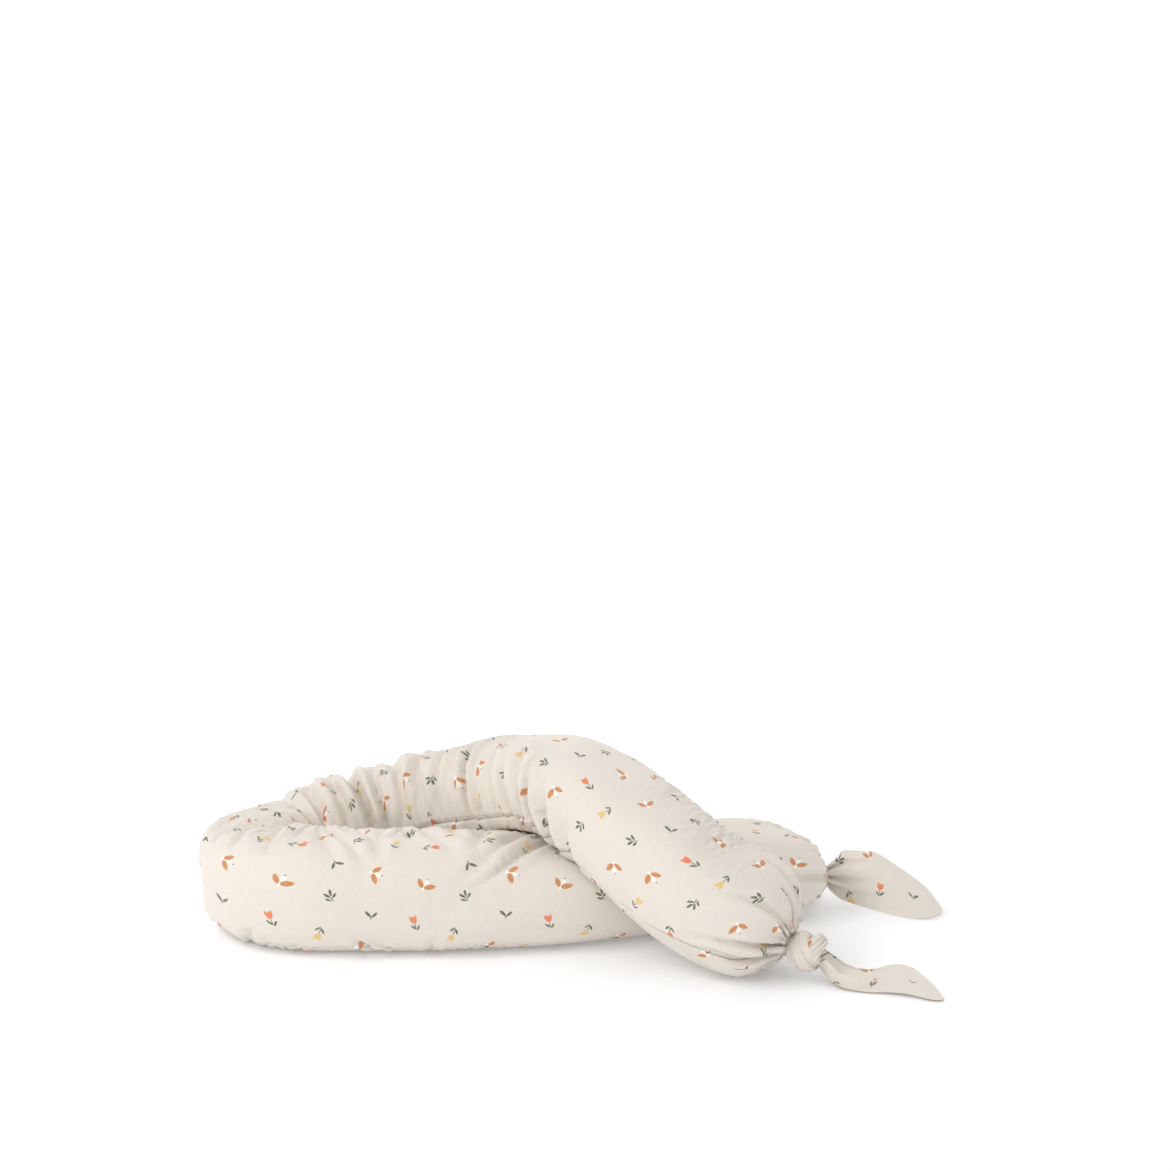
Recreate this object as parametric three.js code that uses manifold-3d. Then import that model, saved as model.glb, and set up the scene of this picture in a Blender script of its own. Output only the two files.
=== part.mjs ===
// Nursing pillow: one long stuffed tube, knotted at both ends and laid on a flat surface in a loop.
//
// Millimetres, +Z up. The origin is on the resting surface under the middle of the loop.
// The tube starts at knot A (right, rear), runs left as the front wall, curls back on itself,
// returns as the rear wall, climbs over the front wall and comes down as an arm that ends at
// knot B (right, front). Beyond each knot the two cover panels go on as a leaf-shaped tail.
//
// Layers, from the outside: a cover of two panels, a casing of two panels, and the filling.
// The cover opens with a zip on the outer seam of the rear wall.

import * as THREE from 'three';
import { mergeVertices } from 'three/addons/utils/BufferGeometryUtils.js';
import Module from 'manifold-3d';

// ---------------------------------------------------------------- driving dimensions

// The tube's route. Each row: x, y, height of the underside, half width, half height,
// outward lean of the top, squareness of the section, and how far the outer seam is rolled
// down towards the floor, in degrees.
const ROUTE = [
  [313, 128, 22, 14, 14, 0, 2.0, 40],
  [301, 112, 4, 46, 42, 0, 2.2, 42],
  [283, 93, 0, 64, 56, 0, 2.5, 45],
  [221, 71, 0, 77, 63, 0, 2.7, 46],
  [143, 47, 0, 82, 63, 0, 2.7, 48],
  [61, 15, 0, 85, 59, 0, 2.8, 50],
  [-18, -11, 0, 84, 64, 0, 2.9, 50],
  [-135, -32, 0, 80, 72, 0, 3.0, 50],
  [-265, -37, 0, 80, 73, 0, 3.2, 50],
  [-357, -29, 0, 80, 73, 0, 3.5, 48],
  [-419, 9, 0, 76, 70, 6, 3.6, 44],
  [-430, 81, 0, 71, 68, 12, 3.0, 28],
  [-385, 147, 2, 73, 70, 2, 2.5, 2],
  [-291, 183, 14, 76, 77, 0, 2.4, 0],
  [-187, 177, 32, 79, 84, 0, 2.3, 0],
  [-89, 125, 62, 82, 86, 0, 2.3, -4],
  [-17, 61, 110, 85, 72, 0, 2.3, -16],
  [37, -7, 116, 86, 63, 0, 2.3, -26],
  [93, -69, 72, 85, 72, 0, 2.3, -35],
  [153, -115, 28, 82, 75, 0, 2.3, -32],
  [211, -140, 0, 77, 71, 0, 2.4, -20],
  [247, -156, 0, 64, 54, 0, 2.2, -12],
  [270, -166, 28, 14, 14, 0, 2.0, -10],
];

const STATIONS = 58; // cross-sections along the tube
const PANEL_SEGMENTS = 8; // facets across one panel
const SEAM_GAP = 0.5; // between the two panels of a layer, half of it on each side
const FLOOR_SNAP = 3; // underside this close to the resting surface lies flat on it
const ROW_STEP_MIN = 3; // between neighbouring cross-sections, on the inside of a tight bend
const SPREAD_PASSES = 30;

const COVER_THICKNESS = 1.2;
const CASING_THICKNESS = 1.0;
const LAYER_GAP = 0.6;

// Where the arm lies on the front wall, the arm takes the wall's shape.
const WALL_PART = [0.02, 0.42]; // share of the tube's length that is the front wall
const ARM_PART = [0.6, 1.0]; // share of the length that can touch it
const ARM_CLEARANCE = 5;

const KNOT_RADIUS = 26;
const KNOT_LENGTH = 50;
const KNOT_CLEARANCE = 3; // from the end of the tube, whose end face may tilt a little

// Each tail is a leaf of doubled cloth between two edges, listed from the knot to the tip.
// Tail A stands leaning on its lower edge.
const TAIL_A_LOWER = [
  [359, 137, 12], [373, 129, 5], [393, 111, 2], [429, 75, 2], [465, 55, 2], [495, 52, 2],
];
const TAIL_A_UPPER = [
  [357, 141, 58], [369, 139, 68], [389, 137, 74], [413, 131, 78], [465, 105, 50], [507, 75, 12],
];
// Tail B lies flat.
const TAIL_B_LOWER = [
  [310, -205, 14], [329, -220, 6], [357, -229, 2], [391, -237, 2], [423, -251, 2], [450, -268, 2],
];
const TAIL_B_UPPER = [
  [321, -167, 34], [341, -157, 12], [369, -159, 4], [413, -137, 2], [441, -185, 2], [457, -245, 2],
];
const TAIL_LAYER = 1.2; // one layer of cloth with its turned hem
const TAIL_LAYER_GAP = 0.4;
const TAIL_STEPS = 12;
const TAIL_COLUMNS = 4;

// The zip lies along a circular arc on the outer seam of the rear wall, in these shares of the
// route, from its open end to its closed end.
const ZIP_SHARES = [0.555, 0.605, 0.655];
const ZIP_STANDOFF = 3; // from the arc on the cover to the underside of the tapes
const TAPE_THICKNESS = 0.8;
const TAPE_WIDTH = 13;
const COIL_WIDTH = 2.6; // one row
const COIL_HEIGHT = 1.6;
const ZIP_GAP = 0.3;
const ZIP_STEP = 12; // along the arc
const SLIDER_LENGTH = 13;
const SLIDER_WIDTH = 9;
const SLIDER_PLATE = 1.2;
const BRIDGE_LENGTH = 8.4;
const BRIDGE_HEIGHT = 3.6;
const BRIDGE_WIDTH = 2;
const BRIDGE_WALL = 1.2;
const PULL_LENGTH = 28;
const PULL_WIDTH = 8;
const PULL_THICKNESS = 1.2;
const PULL_EYE = [0.8, 5.2]; // near and far end of the eye, measured from the hinge line
const PULL_EYE_WIDTH = 3;
const STOP_LENGTH = 3;
const SLIDER_REST = 12; // from the closed end of the coils to the middle of the slider

// ---------------------------------------------------------------- colours

const CREAM_COTTON = { color: 0xe9dfd3, roughness: 0.92, metalness: 0 };
const WHITE_COTTON = { color: 0xf3f1ec, roughness: 0.9, metalness: 0 };
const WHITE_FIBRE = { color: 0xfafaf7, roughness: 1, metalness: 0 };
const CREAM_TAPE = { color: 0xe4dacb, roughness: 0.85, metalness: 0 };
const CREAM_NYLON = { color: 0xe9e1d4, roughness: 0.5, metalness: 0 };
const BRUSHED_METAL = { color: 0xc9c2b4, roughness: 0.35, metalness: 0.9 };

const group = new THREE.Group();

function addMesh(name, geometry, look, parent = group) {
  const mesh = new THREE.Mesh(geometry, new THREE.MeshStandardMaterial(look));
  mesh.name = name;
  parent.add(mesh);
  return mesh;
}

// ---------------------------------------------------------------- route of the tube

const centres = new THREE.CatmullRomCurve3(
  ROUTE.map(([x, y, floor, , halfHeight]) => new THREE.Vector3(x, y, floor + halfHeight)),
  false,
  'centripetal',
);
const sectionSizes = new THREE.CatmullRomCurve3(
  ROUTE.map(([, , , halfWidth, halfHeight, lean]) => new THREE.Vector3(halfWidth, halfHeight, lean)),
  false,
  'catmullrom',
);
const sectionStyles = new THREE.CatmullRomCurve3(
  ROUTE.map(([, , , , , , squareness, roll]) => new THREE.Vector3(squareness, roll, 0)),
  false,
  'catmullrom',
);

const UP = new THREE.Vector3(0, 0, 1);

// The frame of the cross-section at a share t of the route: centre, outward side, up and sizes.
function sectionAt(t) {
  const tangent = centres.getTangent(t);
  const side = new THREE.Vector3().crossVectors(UP, tangent).normalize();
  const up = new THREE.Vector3().crossVectors(tangent, side);
  const size = sectionSizes.getPoint(t);
  const style = sectionStyles.getPoint(t);
  return {
    t,
    tangent,
    side,
    up,
    centre: centres.getPoint(t),
    halfWidth: size.x,
    halfHeight: size.y,
    lean: size.z,
    squareness: style.x,
    seamAngle: -THREE.MathUtils.degToRad(style.y),
  };
}

const signedPower = (value, power) => Math.sign(value) * Math.abs(value) ** power;

// A point on the rounded-square outline; angle 0 faces the outer side, a quarter turn is the top.
function outlinePoint(section, angle) {
  const across = signedPower(Math.cos(angle), 2 / section.squareness);
  const upward = signedPower(Math.sin(angle), 2 / section.squareness);
  const offset = section.halfWidth * across + section.lean * upward;
  return section.centre
    .clone()
    .addScaledVector(section.side, offset)
    .addScaledVector(section.up, section.halfHeight * upward);
}

const sections = [];
for (let i = 0; i < STATIONS; i += 1) {
  const t = i / (STATIONS - 1);
  sections.push(sectionAt(t));
}

const inPart = (t, [from, to]) => t >= from && t <= to;
const wallSections = sections.filter((section) => inPart(section.t, WALL_PART));

// Moves a point of the arm out of the front wall, straight away from the wall's own centre line.
function clearOfWall(point) {
  let nearest = wallSections[0];
  for (const section of wallSections) {
    if (section.centre.distanceToSquared(point) < nearest.centre.distanceToSquared(point)) {
      nearest = section;
    }
  }
  const away = point.clone().sub(nearest.centre);
  const along = away.dot(nearest.tangent);
  const axisPoint = nearest.centre.clone().addScaledVector(nearest.tangent, along);
  away.addScaledVector(nearest.tangent, -along);
  const across = Math.abs(away.dot(nearest.side)) / (nearest.halfWidth + ARM_CLEARANCE);
  const upward = Math.abs(away.dot(nearest.up)) / (nearest.halfHeight + ARM_CLEARANCE);
  const reach = (across ** nearest.squareness + upward ** nearest.squareness) ** (1 / nearest.squareness);
  if (reach >= 1) {
    return point;
  }
  return axisPoint.addScaledVector(away, 1 / reach);
}

function skinPoint(section, angle) {
  let point = outlinePoint(section, angle);
  if (inPart(section.t, ARM_PART)) {
    point = clearOfWall(point);
  }
  if (point.z < FLOOR_SNAP) {
    point.z = 0;
  }
  return point;
}

// Where cross-sections would pass each other inside a tight bend, moves them apart along the tube.
function spreadRows(grid) {
  for (let pass = 0; pass < SPREAD_PASSES; pass += 1) {
    for (let i = 0; i < STATIONS - 1; i += 1) {
      const along = sections[i].tangent.clone().add(sections[i + 1].tangent).normalize();
      for (let k = 0; k < RING_POINTS; k += 1) {
        const missing = ROW_STEP_MIN - grid[i + 1][k].clone().sub(grid[i][k]).dot(along);
        if (missing > 0) {
          grid[i][k].addScaledVector(along, -missing / 2);
          grid[i + 1][k].addScaledVector(along, missing / 2);
        }
      }
    }
  }
  return grid;
}

// The outside of the cover: one ring of points per section, from the outer seam over the top.
const RING_POINTS = 2 * PANEL_SEGMENTS;
const skin = spreadRows(
  sections.map((section) =>
    Array.from({ length: RING_POINTS }, (_, k) =>
      skinPoint(section, section.seamAngle + (Math.PI * k) / PANEL_SEGMENTS),
    ),
  ),
);

// A point of the skin moved inwards by a depth, towards its section's centre.
function layerPoint(i, k, depth) {
  const point = skin[i][k % RING_POINTS].clone();
  const inward = sections[i].centre.clone().sub(point);
  return point.addScaledVector(inward.normalize(), depth);
}

// ---------------------------------------------------------------- closed surfaces from grids

// A quad as two triangles, by vertex numbers.
const quad = (a, b, c, d) => [a, b, c, a, c, d];

// A sheet with thickness: two grids of the same size, joined along all four edges.
function slabGeometry(outer, inner) {
  const rows = outer.length;
  const columns = outer[0].length;
  const positions = [...outer.flat(), ...inner.flat()].flatMap((point) => point.toArray());
  const top = (i, j) => i * columns + j;
  const bottom = (i, j) => rows * columns + i * columns + j;
  const index = [];
  for (let i = 0; i < rows - 1; i += 1) {
    for (let j = 0; j < columns - 1; j += 1) {
      index.push(...quad(top(i, j), top(i, j + 1), top(i + 1, j + 1), top(i + 1, j)));
      index.push(...quad(bottom(i, j), bottom(i + 1, j), bottom(i + 1, j + 1), bottom(i, j + 1)));
    }
  }
  for (let i = 0; i < rows - 1; i += 1) {
    const last = columns - 1;
    index.push(...quad(top(i, 0), top(i + 1, 0), bottom(i + 1, 0), bottom(i, 0)));
    index.push(...quad(top(i, last), bottom(i, last), bottom(i + 1, last), top(i + 1, last)));
  }
  for (let j = 0; j < columns - 1; j += 1) {
    const last = rows - 1;
    index.push(...quad(top(0, j), bottom(0, j), bottom(0, j + 1), top(0, j + 1)));
    index.push(...quad(top(last, j), top(last, j + 1), bottom(last, j + 1), bottom(last, j)));
  }
  return closedGeometry(positions, index);
}

// A solid rod: rings of points, closed by a fan at each end.
function rodGeometry(rings) {
  const sides = rings[0].length;
  const middle = (ring) =>
    ring.reduce((sum, point) => sum.add(point), new THREE.Vector3()).divideScalar(sides);
  const points = [...rings.flat(), middle(rings[0]), middle(rings[rings.length - 1])];
  const firstCap = rings.length * sides;
  const lastCap = firstCap + 1;
  const at = (i, j) => i * sides + (j % sides);
  const index = [];
  for (let i = 0; i < rings.length - 1; i += 1) {
    for (let j = 0; j < sides; j += 1) {
      index.push(...quad(at(i, j), at(i, j + 1), at(i + 1, j + 1), at(i + 1, j)));
    }
  }
  for (let j = 0; j < sides; j += 1) {
    index.push(firstCap, at(0, j + 1), at(0, j));
    index.push(lastCap, at(rings.length - 1, j), at(rings.length - 1, j + 1));
  }
  return closedGeometry(points.flatMap((point) => point.toArray()), index);
}

// Turns the faces outwards if the grid happened to run the other way round.
function closedGeometry(positions, index) {
  const geometry = new THREE.BufferGeometry();
  geometry.setAttribute('position', new THREE.Float32BufferAttribute(positions, 3));
  geometry.setIndex(signedVolume(positions, index) < 0 ? index.slice().reverse() : index);
  geometry.computeVertexNormals();
  return geometry;
}

function signedVolume(positions, index) {
  const corner = (k) => new THREE.Vector3().fromArray(positions, 3 * index[k]);
  let volume = 0;
  for (let k = 0; k < index.length; k += 3) {
    volume += corner(k).dot(corner(k + 1).cross(corner(k + 2)));
  }
  return volume / 6;
}

// ---------------------------------------------------------------- cover, casing and filling

// One panel covers half of the way round, from one side seam to the other.
function panelGrid(firstColumn, depth) {
  return sections.map((_, i) => {
    const row = [];
    for (let j = 0; j <= PANEL_SEGMENTS; j += 1) {
      row.push(layerPoint(i, firstColumn + j, depth));
    }
    const last = PANEL_SEGMENTS;
    drawBack(row[0], row[1]);
    drawBack(row[last], row[last - 1]);
    return row;
  });
}

// Moves a panel's edge back from the seam by half of the seam's gap.
function drawBack(edge, next) {
  edge.lerp(next, SEAM_GAP / 2 / edge.distanceTo(next));
}

function addPanelPair(prefix, depth, thickness, look) {
  for (const [half, firstColumn] of [['upper', 0], ['lower', PANEL_SEGMENTS]]) {
    const outer = panelGrid(firstColumn, depth);
    const inner = panelGrid(firstColumn, depth + thickness);
    addMesh(`${prefix}_${half}_panel`, slabGeometry(outer, inner), look);
  }
}

const casingDepth = COVER_THICKNESS + LAYER_GAP;
const fillingDepth = casingDepth + CASING_THICKNESS + LAYER_GAP;

addPanelPair('cover', 0, COVER_THICKNESS, CREAM_COTTON);
addPanelPair('casing', casingDepth, CASING_THICKNESS, WHITE_COTTON);

const fillingRings = skin.map((ring, i) => ring.map((_, k) => layerPoint(i, k, fillingDepth)));
addMesh('filling', rodGeometry(fillingRings), WHITE_FIBRE);

// ---------------------------------------------------------------- knots

// A knot is a round-shouldered barrel on the end of the tube, with its axis along the tube.
function addKnot(name, endSection, outward) {
  const half = KNOT_LENGTH / 2;
  const profile = [new THREE.Vector2(0, -half)];
  for (let k = 1; k <= 7; k += 1) {
    const angle = -Math.PI / 2 + (k * Math.PI) / 8;
    profile.push(new THREE.Vector2(KNOT_RADIUS * Math.cos(angle), half * Math.sin(angle)));
  }
  profile.push(new THREE.Vector2(0, half));
  const mesh = addMesh(name, new THREE.LatheGeometry(profile, 16), CREAM_COTTON);
  mesh.position.copy(endSection.centre).addScaledVector(outward, half + KNOT_CLEARANCE);
  mesh.quaternion.setFromUnitVectors(new THREE.Vector3(0, 1, 0), outward);
}

const level = (vector) => new THREE.Vector3(vector.x, vector.y, 0).normalize();
const startSection = sections[0];
const endSection = sections[STATIONS - 1];
addKnot('knot_a', startSection, level(startSection.tangent).negate());
addKnot('knot_b', endSection, level(endSection.tangent));

// ---------------------------------------------------------------- tails

const vectors = (rows) => rows.map((row) => new THREE.Vector3(...row));

// The middle surface of a tail: rows from the knot to the tip, columns from edge to edge.
function tailGrid(lowerEdge, upperEdge) {
  const lower = new THREE.CatmullRomCurve3(vectors(lowerEdge), false, 'centripetal');
  const upper = new THREE.CatmullRomCurve3(vectors(upperEdge), false, 'centripetal');
  const grid = [];
  for (let i = 0; i <= TAIL_STEPS; i += 1) {
    const row = [];
    for (let j = 0; j <= TAIL_COLUMNS; j += 1) {
      const t = i / TAIL_STEPS;
      row.push(lower.getPoint(t).lerp(upper.getPoint(t), j / TAIL_COLUMNS));
    }
    grid.push(row);
  }
  return grid;
}

function offsetGrid(grid, distance) {
  const at = (i, j) =>
    grid[THREE.MathUtils.clamp(i, 0, grid.length - 1)][THREE.MathUtils.clamp(j, 0, grid[0].length - 1)];
  return grid.map((row, i) =>
    row.map((point, j) => {
      const along = at(i + 1, j).clone().sub(at(i - 1, j));
      const across = at(i, j + 1).clone().sub(at(i, j - 1));
      return point.clone().addScaledVector(along.cross(across).normalize(), distance);
    }),
  );
}

function addTail(name, lowerEdge, upperEdge) {
  const middle = tailGrid(lowerEdge, upperEdge);
  const near = TAIL_LAYER_GAP / 2;
  const far = near + TAIL_LAYER;
  const upperLayer = slabGeometry(offsetGrid(middle, near), offsetGrid(middle, far));
  const lowerLayer = slabGeometry(offsetGrid(middle, -near), offsetGrid(middle, -far));
  addMesh(`${name}_upper_layer`, upperLayer, CREAM_COTTON);
  addMesh(`${name}_lower_layer`, lowerLayer, CREAM_COTTON);
}

addTail('tail_a', TAIL_A_LOWER, TAIL_A_UPPER);
addTail('tail_b', TAIL_B_LOWER, TAIL_B_UPPER);

// ---------------------------------------------------------------- zip

// The circle through three points: centre, axis and radius.
function circleThrough(a, b, c) {
  const ab = b.clone().sub(a);
  const ac = c.clone().sub(a);
  const normal = ab.clone().cross(ac);
  const toCentre = ac
    .clone()
    .multiplyScalar(ab.lengthSq())
    .negate()
    .add(ab.clone().multiplyScalar(ac.lengthSq()))
    .cross(normal)
    .divideScalar(-2 * normal.lengthSq());
  return { centre: a.clone().add(toCentre), axis: normal.normalize(), radius: toCentre.length() };
}

const zipPoints = ZIP_SHARES.map((share) => {
  const section = sectionAt(share);
  return skinPoint(section, section.seamAngle);
});
const zipCircle = circleThrough(...zipPoints);
const zipAxis = zipCircle.axis.z > 0 ? zipCircle.axis : zipCircle.axis.negate();
const zipStart = zipPoints[0].clone().sub(zipCircle.centre).normalize();
const zipSideways = new THREE.Vector3().crossVectors(zipStart, zipAxis);
const zipSweep = zipStart.angleTo(zipPoints[2].clone().sub(zipCircle.centre));
const zipLength = zipSweep * zipCircle.radius;

// The frame on the arc a distance from its open end: x towards the closed end, y down the wall,
// z away from the cover.
function zipFrame(distance) {
  const angle = distance / zipCircle.radius;
  const outward = zipStart
    .clone()
    .multiplyScalar(Math.cos(angle))
    .addScaledVector(zipSideways, Math.sin(angle));
  const along = new THREE.Vector3().crossVectors(outward, zipAxis);
  const frame = new THREE.Matrix4().makeBasis(along, zipAxis.clone().negate(), outward);
  return frame.setPosition(zipCircle.centre.clone().addScaledVector(outward, zipCircle.radius));
}

// A straight-sided bar bent along the arc, between two heights and two places across.
function addZipStrip(name, look, [from, to], [acrossLow, acrossHigh], [low, high]) {
  const steps = Math.ceil((to - from) / ZIP_STEP);
  const rings = [];
  for (let i = 0; i <= steps; i += 1) {
    const frame = zipFrame(from + ((to - from) * i) / steps);
    const corners = [
      [acrossLow, low],
      [acrossHigh, low],
      [acrossHigh, high],
      [acrossLow, high],
    ];
    rings.push(corners.map(([across, height]) => new THREE.Vector3(0, across, height).applyMatrix4(frame)));
  }
  addMesh(name, rodGeometry(rings), look);
}

const tapeTop = ZIP_STANDOFF + TAPE_THICKNESS;
const coilBase = tapeTop + ZIP_GAP;
const coilTop = coilBase + COIL_HEIGHT;
const coilSpan = [STOP_LENGTH + ZIP_GAP, zipLength - STOP_LENGTH - ZIP_GAP];
const tapeInner = ZIP_GAP / 2;

for (const [name, sign] of [['upper', -1], ['lower', 1]]) {
  const tapeAcross = [tapeInner, tapeInner + TAPE_WIDTH].map((value) => sign * value);
  const coilAcross = [tapeInner, tapeInner + COIL_WIDTH].map((value) => sign * value);
  addZipStrip(`zip_tape_${name}`, CREAM_TAPE, [0, zipLength], tapeAcross, [ZIP_STANDOFF, tapeTop]);
  addZipStrip(`zip_coil_${name}`, CREAM_NYLON, coilSpan, coilAcross, [coilBase, coilTop]);
}
const stopAcross = [-COIL_WIDTH, COIL_WIDTH];
const stopHeights = [coilBase, coilTop];
addZipStrip('zip_stop_open_end', BRUSHED_METAL, [0, STOP_LENGTH], stopAcross, stopHeights);
addZipStrip('zip_stop_closed_end', BRUSHED_METAL, [zipLength - STOP_LENGTH, zipLength], stopAcross, stopHeights);

// ---------------------------------------------------------------- zip slider and pull

const wasm = await Module();
wasm.setup();

function toManifold(geometry) {
  const bare = geometry.clone();
  bare.deleteAttribute('normal');
  bare.deleteAttribute('uv');
  const merged = mergeVertices(bare);
  return new wasm.Manifold(
    new wasm.Mesh({
      numProp: 3,
      vertProperties: merged.getAttribute('position').array,
      triVerts: new Uint32Array(merged.getIndex().array),
    }),
  );
}

function fromManifold(solid) {
  const mesh = solid.getMesh();
  const geometry = new THREE.BufferGeometry();
  geometry.setAttribute('position', new THREE.BufferAttribute(mesh.vertProperties, 3));
  geometry.setIndex(new THREE.BufferAttribute(mesh.triVerts, 1));
  return geometry;
}

// A box by its length, width and height, standing on a height, centred along and across.
function block(length, width, height, base) {
  return new THREE.BoxGeometry(length, width, height).translate(0, 0, base + height / 2);
}

// The slider is a channel over the coils with a bridge on top that holds the pull.
const sliderBase = tapeTop + ZIP_GAP;
const channelTop = coilTop + ZIP_GAP;
const sliderTop = channelTop + SLIDER_PLATE;
const channelWidth = 2 * (tapeInner + COIL_WIDTH + ZIP_GAP);

function sliderGeometry() {
  const shell = toManifold(block(SLIDER_LENGTH, SLIDER_WIDTH, sliderTop - sliderBase, sliderBase));
  const channel = toManifold(block(2 * SLIDER_LENGTH, channelWidth, channelTop - sliderBase + 1, sliderBase - 1));
  const bridge = toManifold(block(BRIDGE_LENGTH, BRIDGE_WIDTH, BRIDGE_HEIGHT + 0.4, sliderTop - 0.4));
  const bridgeHole = toManifold(
    block(BRIDGE_LENGTH - 2 * BRIDGE_WALL, 2 * BRIDGE_WIDTH, BRIDGE_HEIGHT - BRIDGE_WALL, sliderTop),
  );
  return fromManifold(shell.subtract(channel).add(bridge.subtract(bridgeHole)));
}

// The pull is a flat tab with an eye; its end bar lies under the bridge, on the hinge line.
function pullGeometry() {
  const outline = new THREE.Shape();
  const half = PULL_WIDTH / 2;
  const [barHalf, eyeEnd] = PULL_EYE;
  outline.moveTo(barHalf, -half);
  outline.lineTo(barHalf, half);
  outline.lineTo(half - PULL_LENGTH, half);
  outline.absarc(half - PULL_LENGTH, 0, half, Math.PI / 2, (3 * Math.PI) / 2, false);
  const eye = new THREE.Path();
  const eyeHalf = PULL_EYE_WIDTH / 2;
  eye.moveTo(-barHalf, -eyeHalf);
  eye.lineTo(-eyeEnd, -eyeHalf);
  eye.lineTo(-eyeEnd, eyeHalf);
  eye.lineTo(-barHalf, eyeHalf);
  outline.holes.push(eye);
  const tab = new THREE.ExtrudeGeometry(outline, { depth: PULL_THICKNESS, bevelEnabled: false, curveSegments: 6 });
  return tab.translate(0, 0, -PULL_THICKNESS / 2);
}

const sliderPlace = new THREE.Group();
sliderPlace.applyMatrix4(zipFrame(zipLength - STOP_LENGTH - SLIDER_REST));
group.add(sliderPlace);
addMesh('zip_slider', sliderGeometry(), BRUSHED_METAL, sliderPlace);
const pull = addMesh('zip_pull', pullGeometry(), BRUSHED_METAL, sliderPlace);
pull.position.z = sliderTop + (BRIDGE_HEIGHT - BRIDGE_WALL) / 2;

export default group;
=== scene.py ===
"""Nursing pillow: the looks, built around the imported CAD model.

Metres, in the CAD's own frame. The stuffed tube is a grid of cloth on the same route as the CAD
tube. Folds and pleats are laid into it, then a small cloth solver lets the grid settle. Knots,
tails, seams, stitches and the zip are mesh code around it.
"""

import math

import bpy
import numpy as np
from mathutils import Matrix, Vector
from numpy.linalg import norm


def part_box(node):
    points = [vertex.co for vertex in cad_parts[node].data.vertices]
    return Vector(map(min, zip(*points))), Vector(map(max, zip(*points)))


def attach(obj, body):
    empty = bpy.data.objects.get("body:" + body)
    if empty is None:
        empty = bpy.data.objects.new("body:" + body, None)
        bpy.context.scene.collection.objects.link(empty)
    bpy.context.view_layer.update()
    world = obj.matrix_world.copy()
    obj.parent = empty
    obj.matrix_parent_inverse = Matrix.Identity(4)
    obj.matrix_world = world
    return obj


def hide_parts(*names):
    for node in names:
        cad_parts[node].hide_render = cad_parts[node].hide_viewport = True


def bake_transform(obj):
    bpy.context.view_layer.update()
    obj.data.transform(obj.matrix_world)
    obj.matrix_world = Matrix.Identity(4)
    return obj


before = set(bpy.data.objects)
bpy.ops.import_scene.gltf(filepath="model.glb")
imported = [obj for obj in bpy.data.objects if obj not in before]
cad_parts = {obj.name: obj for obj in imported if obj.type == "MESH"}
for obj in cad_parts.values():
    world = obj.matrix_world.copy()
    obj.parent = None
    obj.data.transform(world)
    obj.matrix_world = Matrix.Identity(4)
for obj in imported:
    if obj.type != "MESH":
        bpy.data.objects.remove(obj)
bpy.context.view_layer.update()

MM = 0.001
UP = np.array([0.0, 0.0, 1.0])

# ---- the route of the tube

# The CAD's route, in millimetres: x, y, height of the underside, half width,
# half height, outward lean, squareness, and how far the outer seam is rolled down, in degrees.
ROUTE = np.array([
    [313, 128, 22, 14, 14, 0, 2.0, 40],
    [301, 112, 4, 46, 42, 0, 2.2, 42],
    [283, 93, 0, 64, 56, 0, 2.5, 45],
    [221, 71, 0, 77, 63, 0, 2.7, 46],
    [143, 47, 0, 82, 63, 0, 2.7, 48],
    [61, 15, 0, 85, 59, 0, 2.8, 50],
    [-18, -11, 0, 84, 64, 0, 2.9, 50],
    [-135, -32, 0, 80, 72, 0, 3.0, 50],
    [-265, -37, 0, 80, 73, 0, 3.2, 50],
    [-357, -29, 0, 80, 73, 0, 3.5, 48],
    [-419, 9, 0, 76, 70, 6, 3.6, 44],
    [-430, 81, 0, 71, 68, 12, 3.0, 28],
    [-385, 147, 2, 73, 70, 2, 2.5, 2],
    [-291, 183, 14, 76, 77, 0, 2.4, 0],
    [-187, 177, 32, 79, 84, 0, 2.3, 0],
    [-89, 125, 62, 82, 86, 0, 2.3, -4],
    [-17, 61, 110, 85, 72, 0, 2.3, -16],
    [37, -7, 116, 86, 63, 0, 2.3, -26],
    [93, -69, 72, 85, 72, 0, 2.3, -35],
    [153, -115, 28, 82, 75, 0, 2.3, -32],
    [211, -140, 0, 77, 71, 0, 2.4, -20],
    [247, -156, 0, 64, 54, 0, 2.2, -12],
    [270, -166, 28, 14, 14, 0, 2.0, -10],
])
WALL_PART = (0.02, 0.42)  # share of the route that is the front wall
ARM_PART = (0.6, 0.985)  # share of the route that can lie on the front wall
ARM_CLEARANCE = 4 * MM
EASING_PASSES = 40
FINE_ROWS = 1201  # to measure the skin's length with
FEW_COLUMNS = 12
LEAST_STEP = 0.8 * MM  # between two rows, inside a tight bend

ROWS = 440  # along the tube
COLUMNS = 160  # around it; column 0 is the outer seam
HALF = COLUMNS // 2
GIRTH = 0.52  # the flat cloth's width around the tube


def unit(v):
    return v / np.maximum(norm(v, axis=-1, keepdims=True), 1e-12)


def bell(x):
    return np.exp(-(x**2))


def step_up(value, low_end, high_end):
    """0 below the low end, 1 above the high end, smooth between."""
    share = np.clip((value - low_end) / (high_end - low_end), 0, 1)
    return share * share * (3 - 2 * share)


def full_wave(turns):
    """A sine that repeats at every whole number."""
    return np.sin(2 * math.pi * turns)


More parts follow.
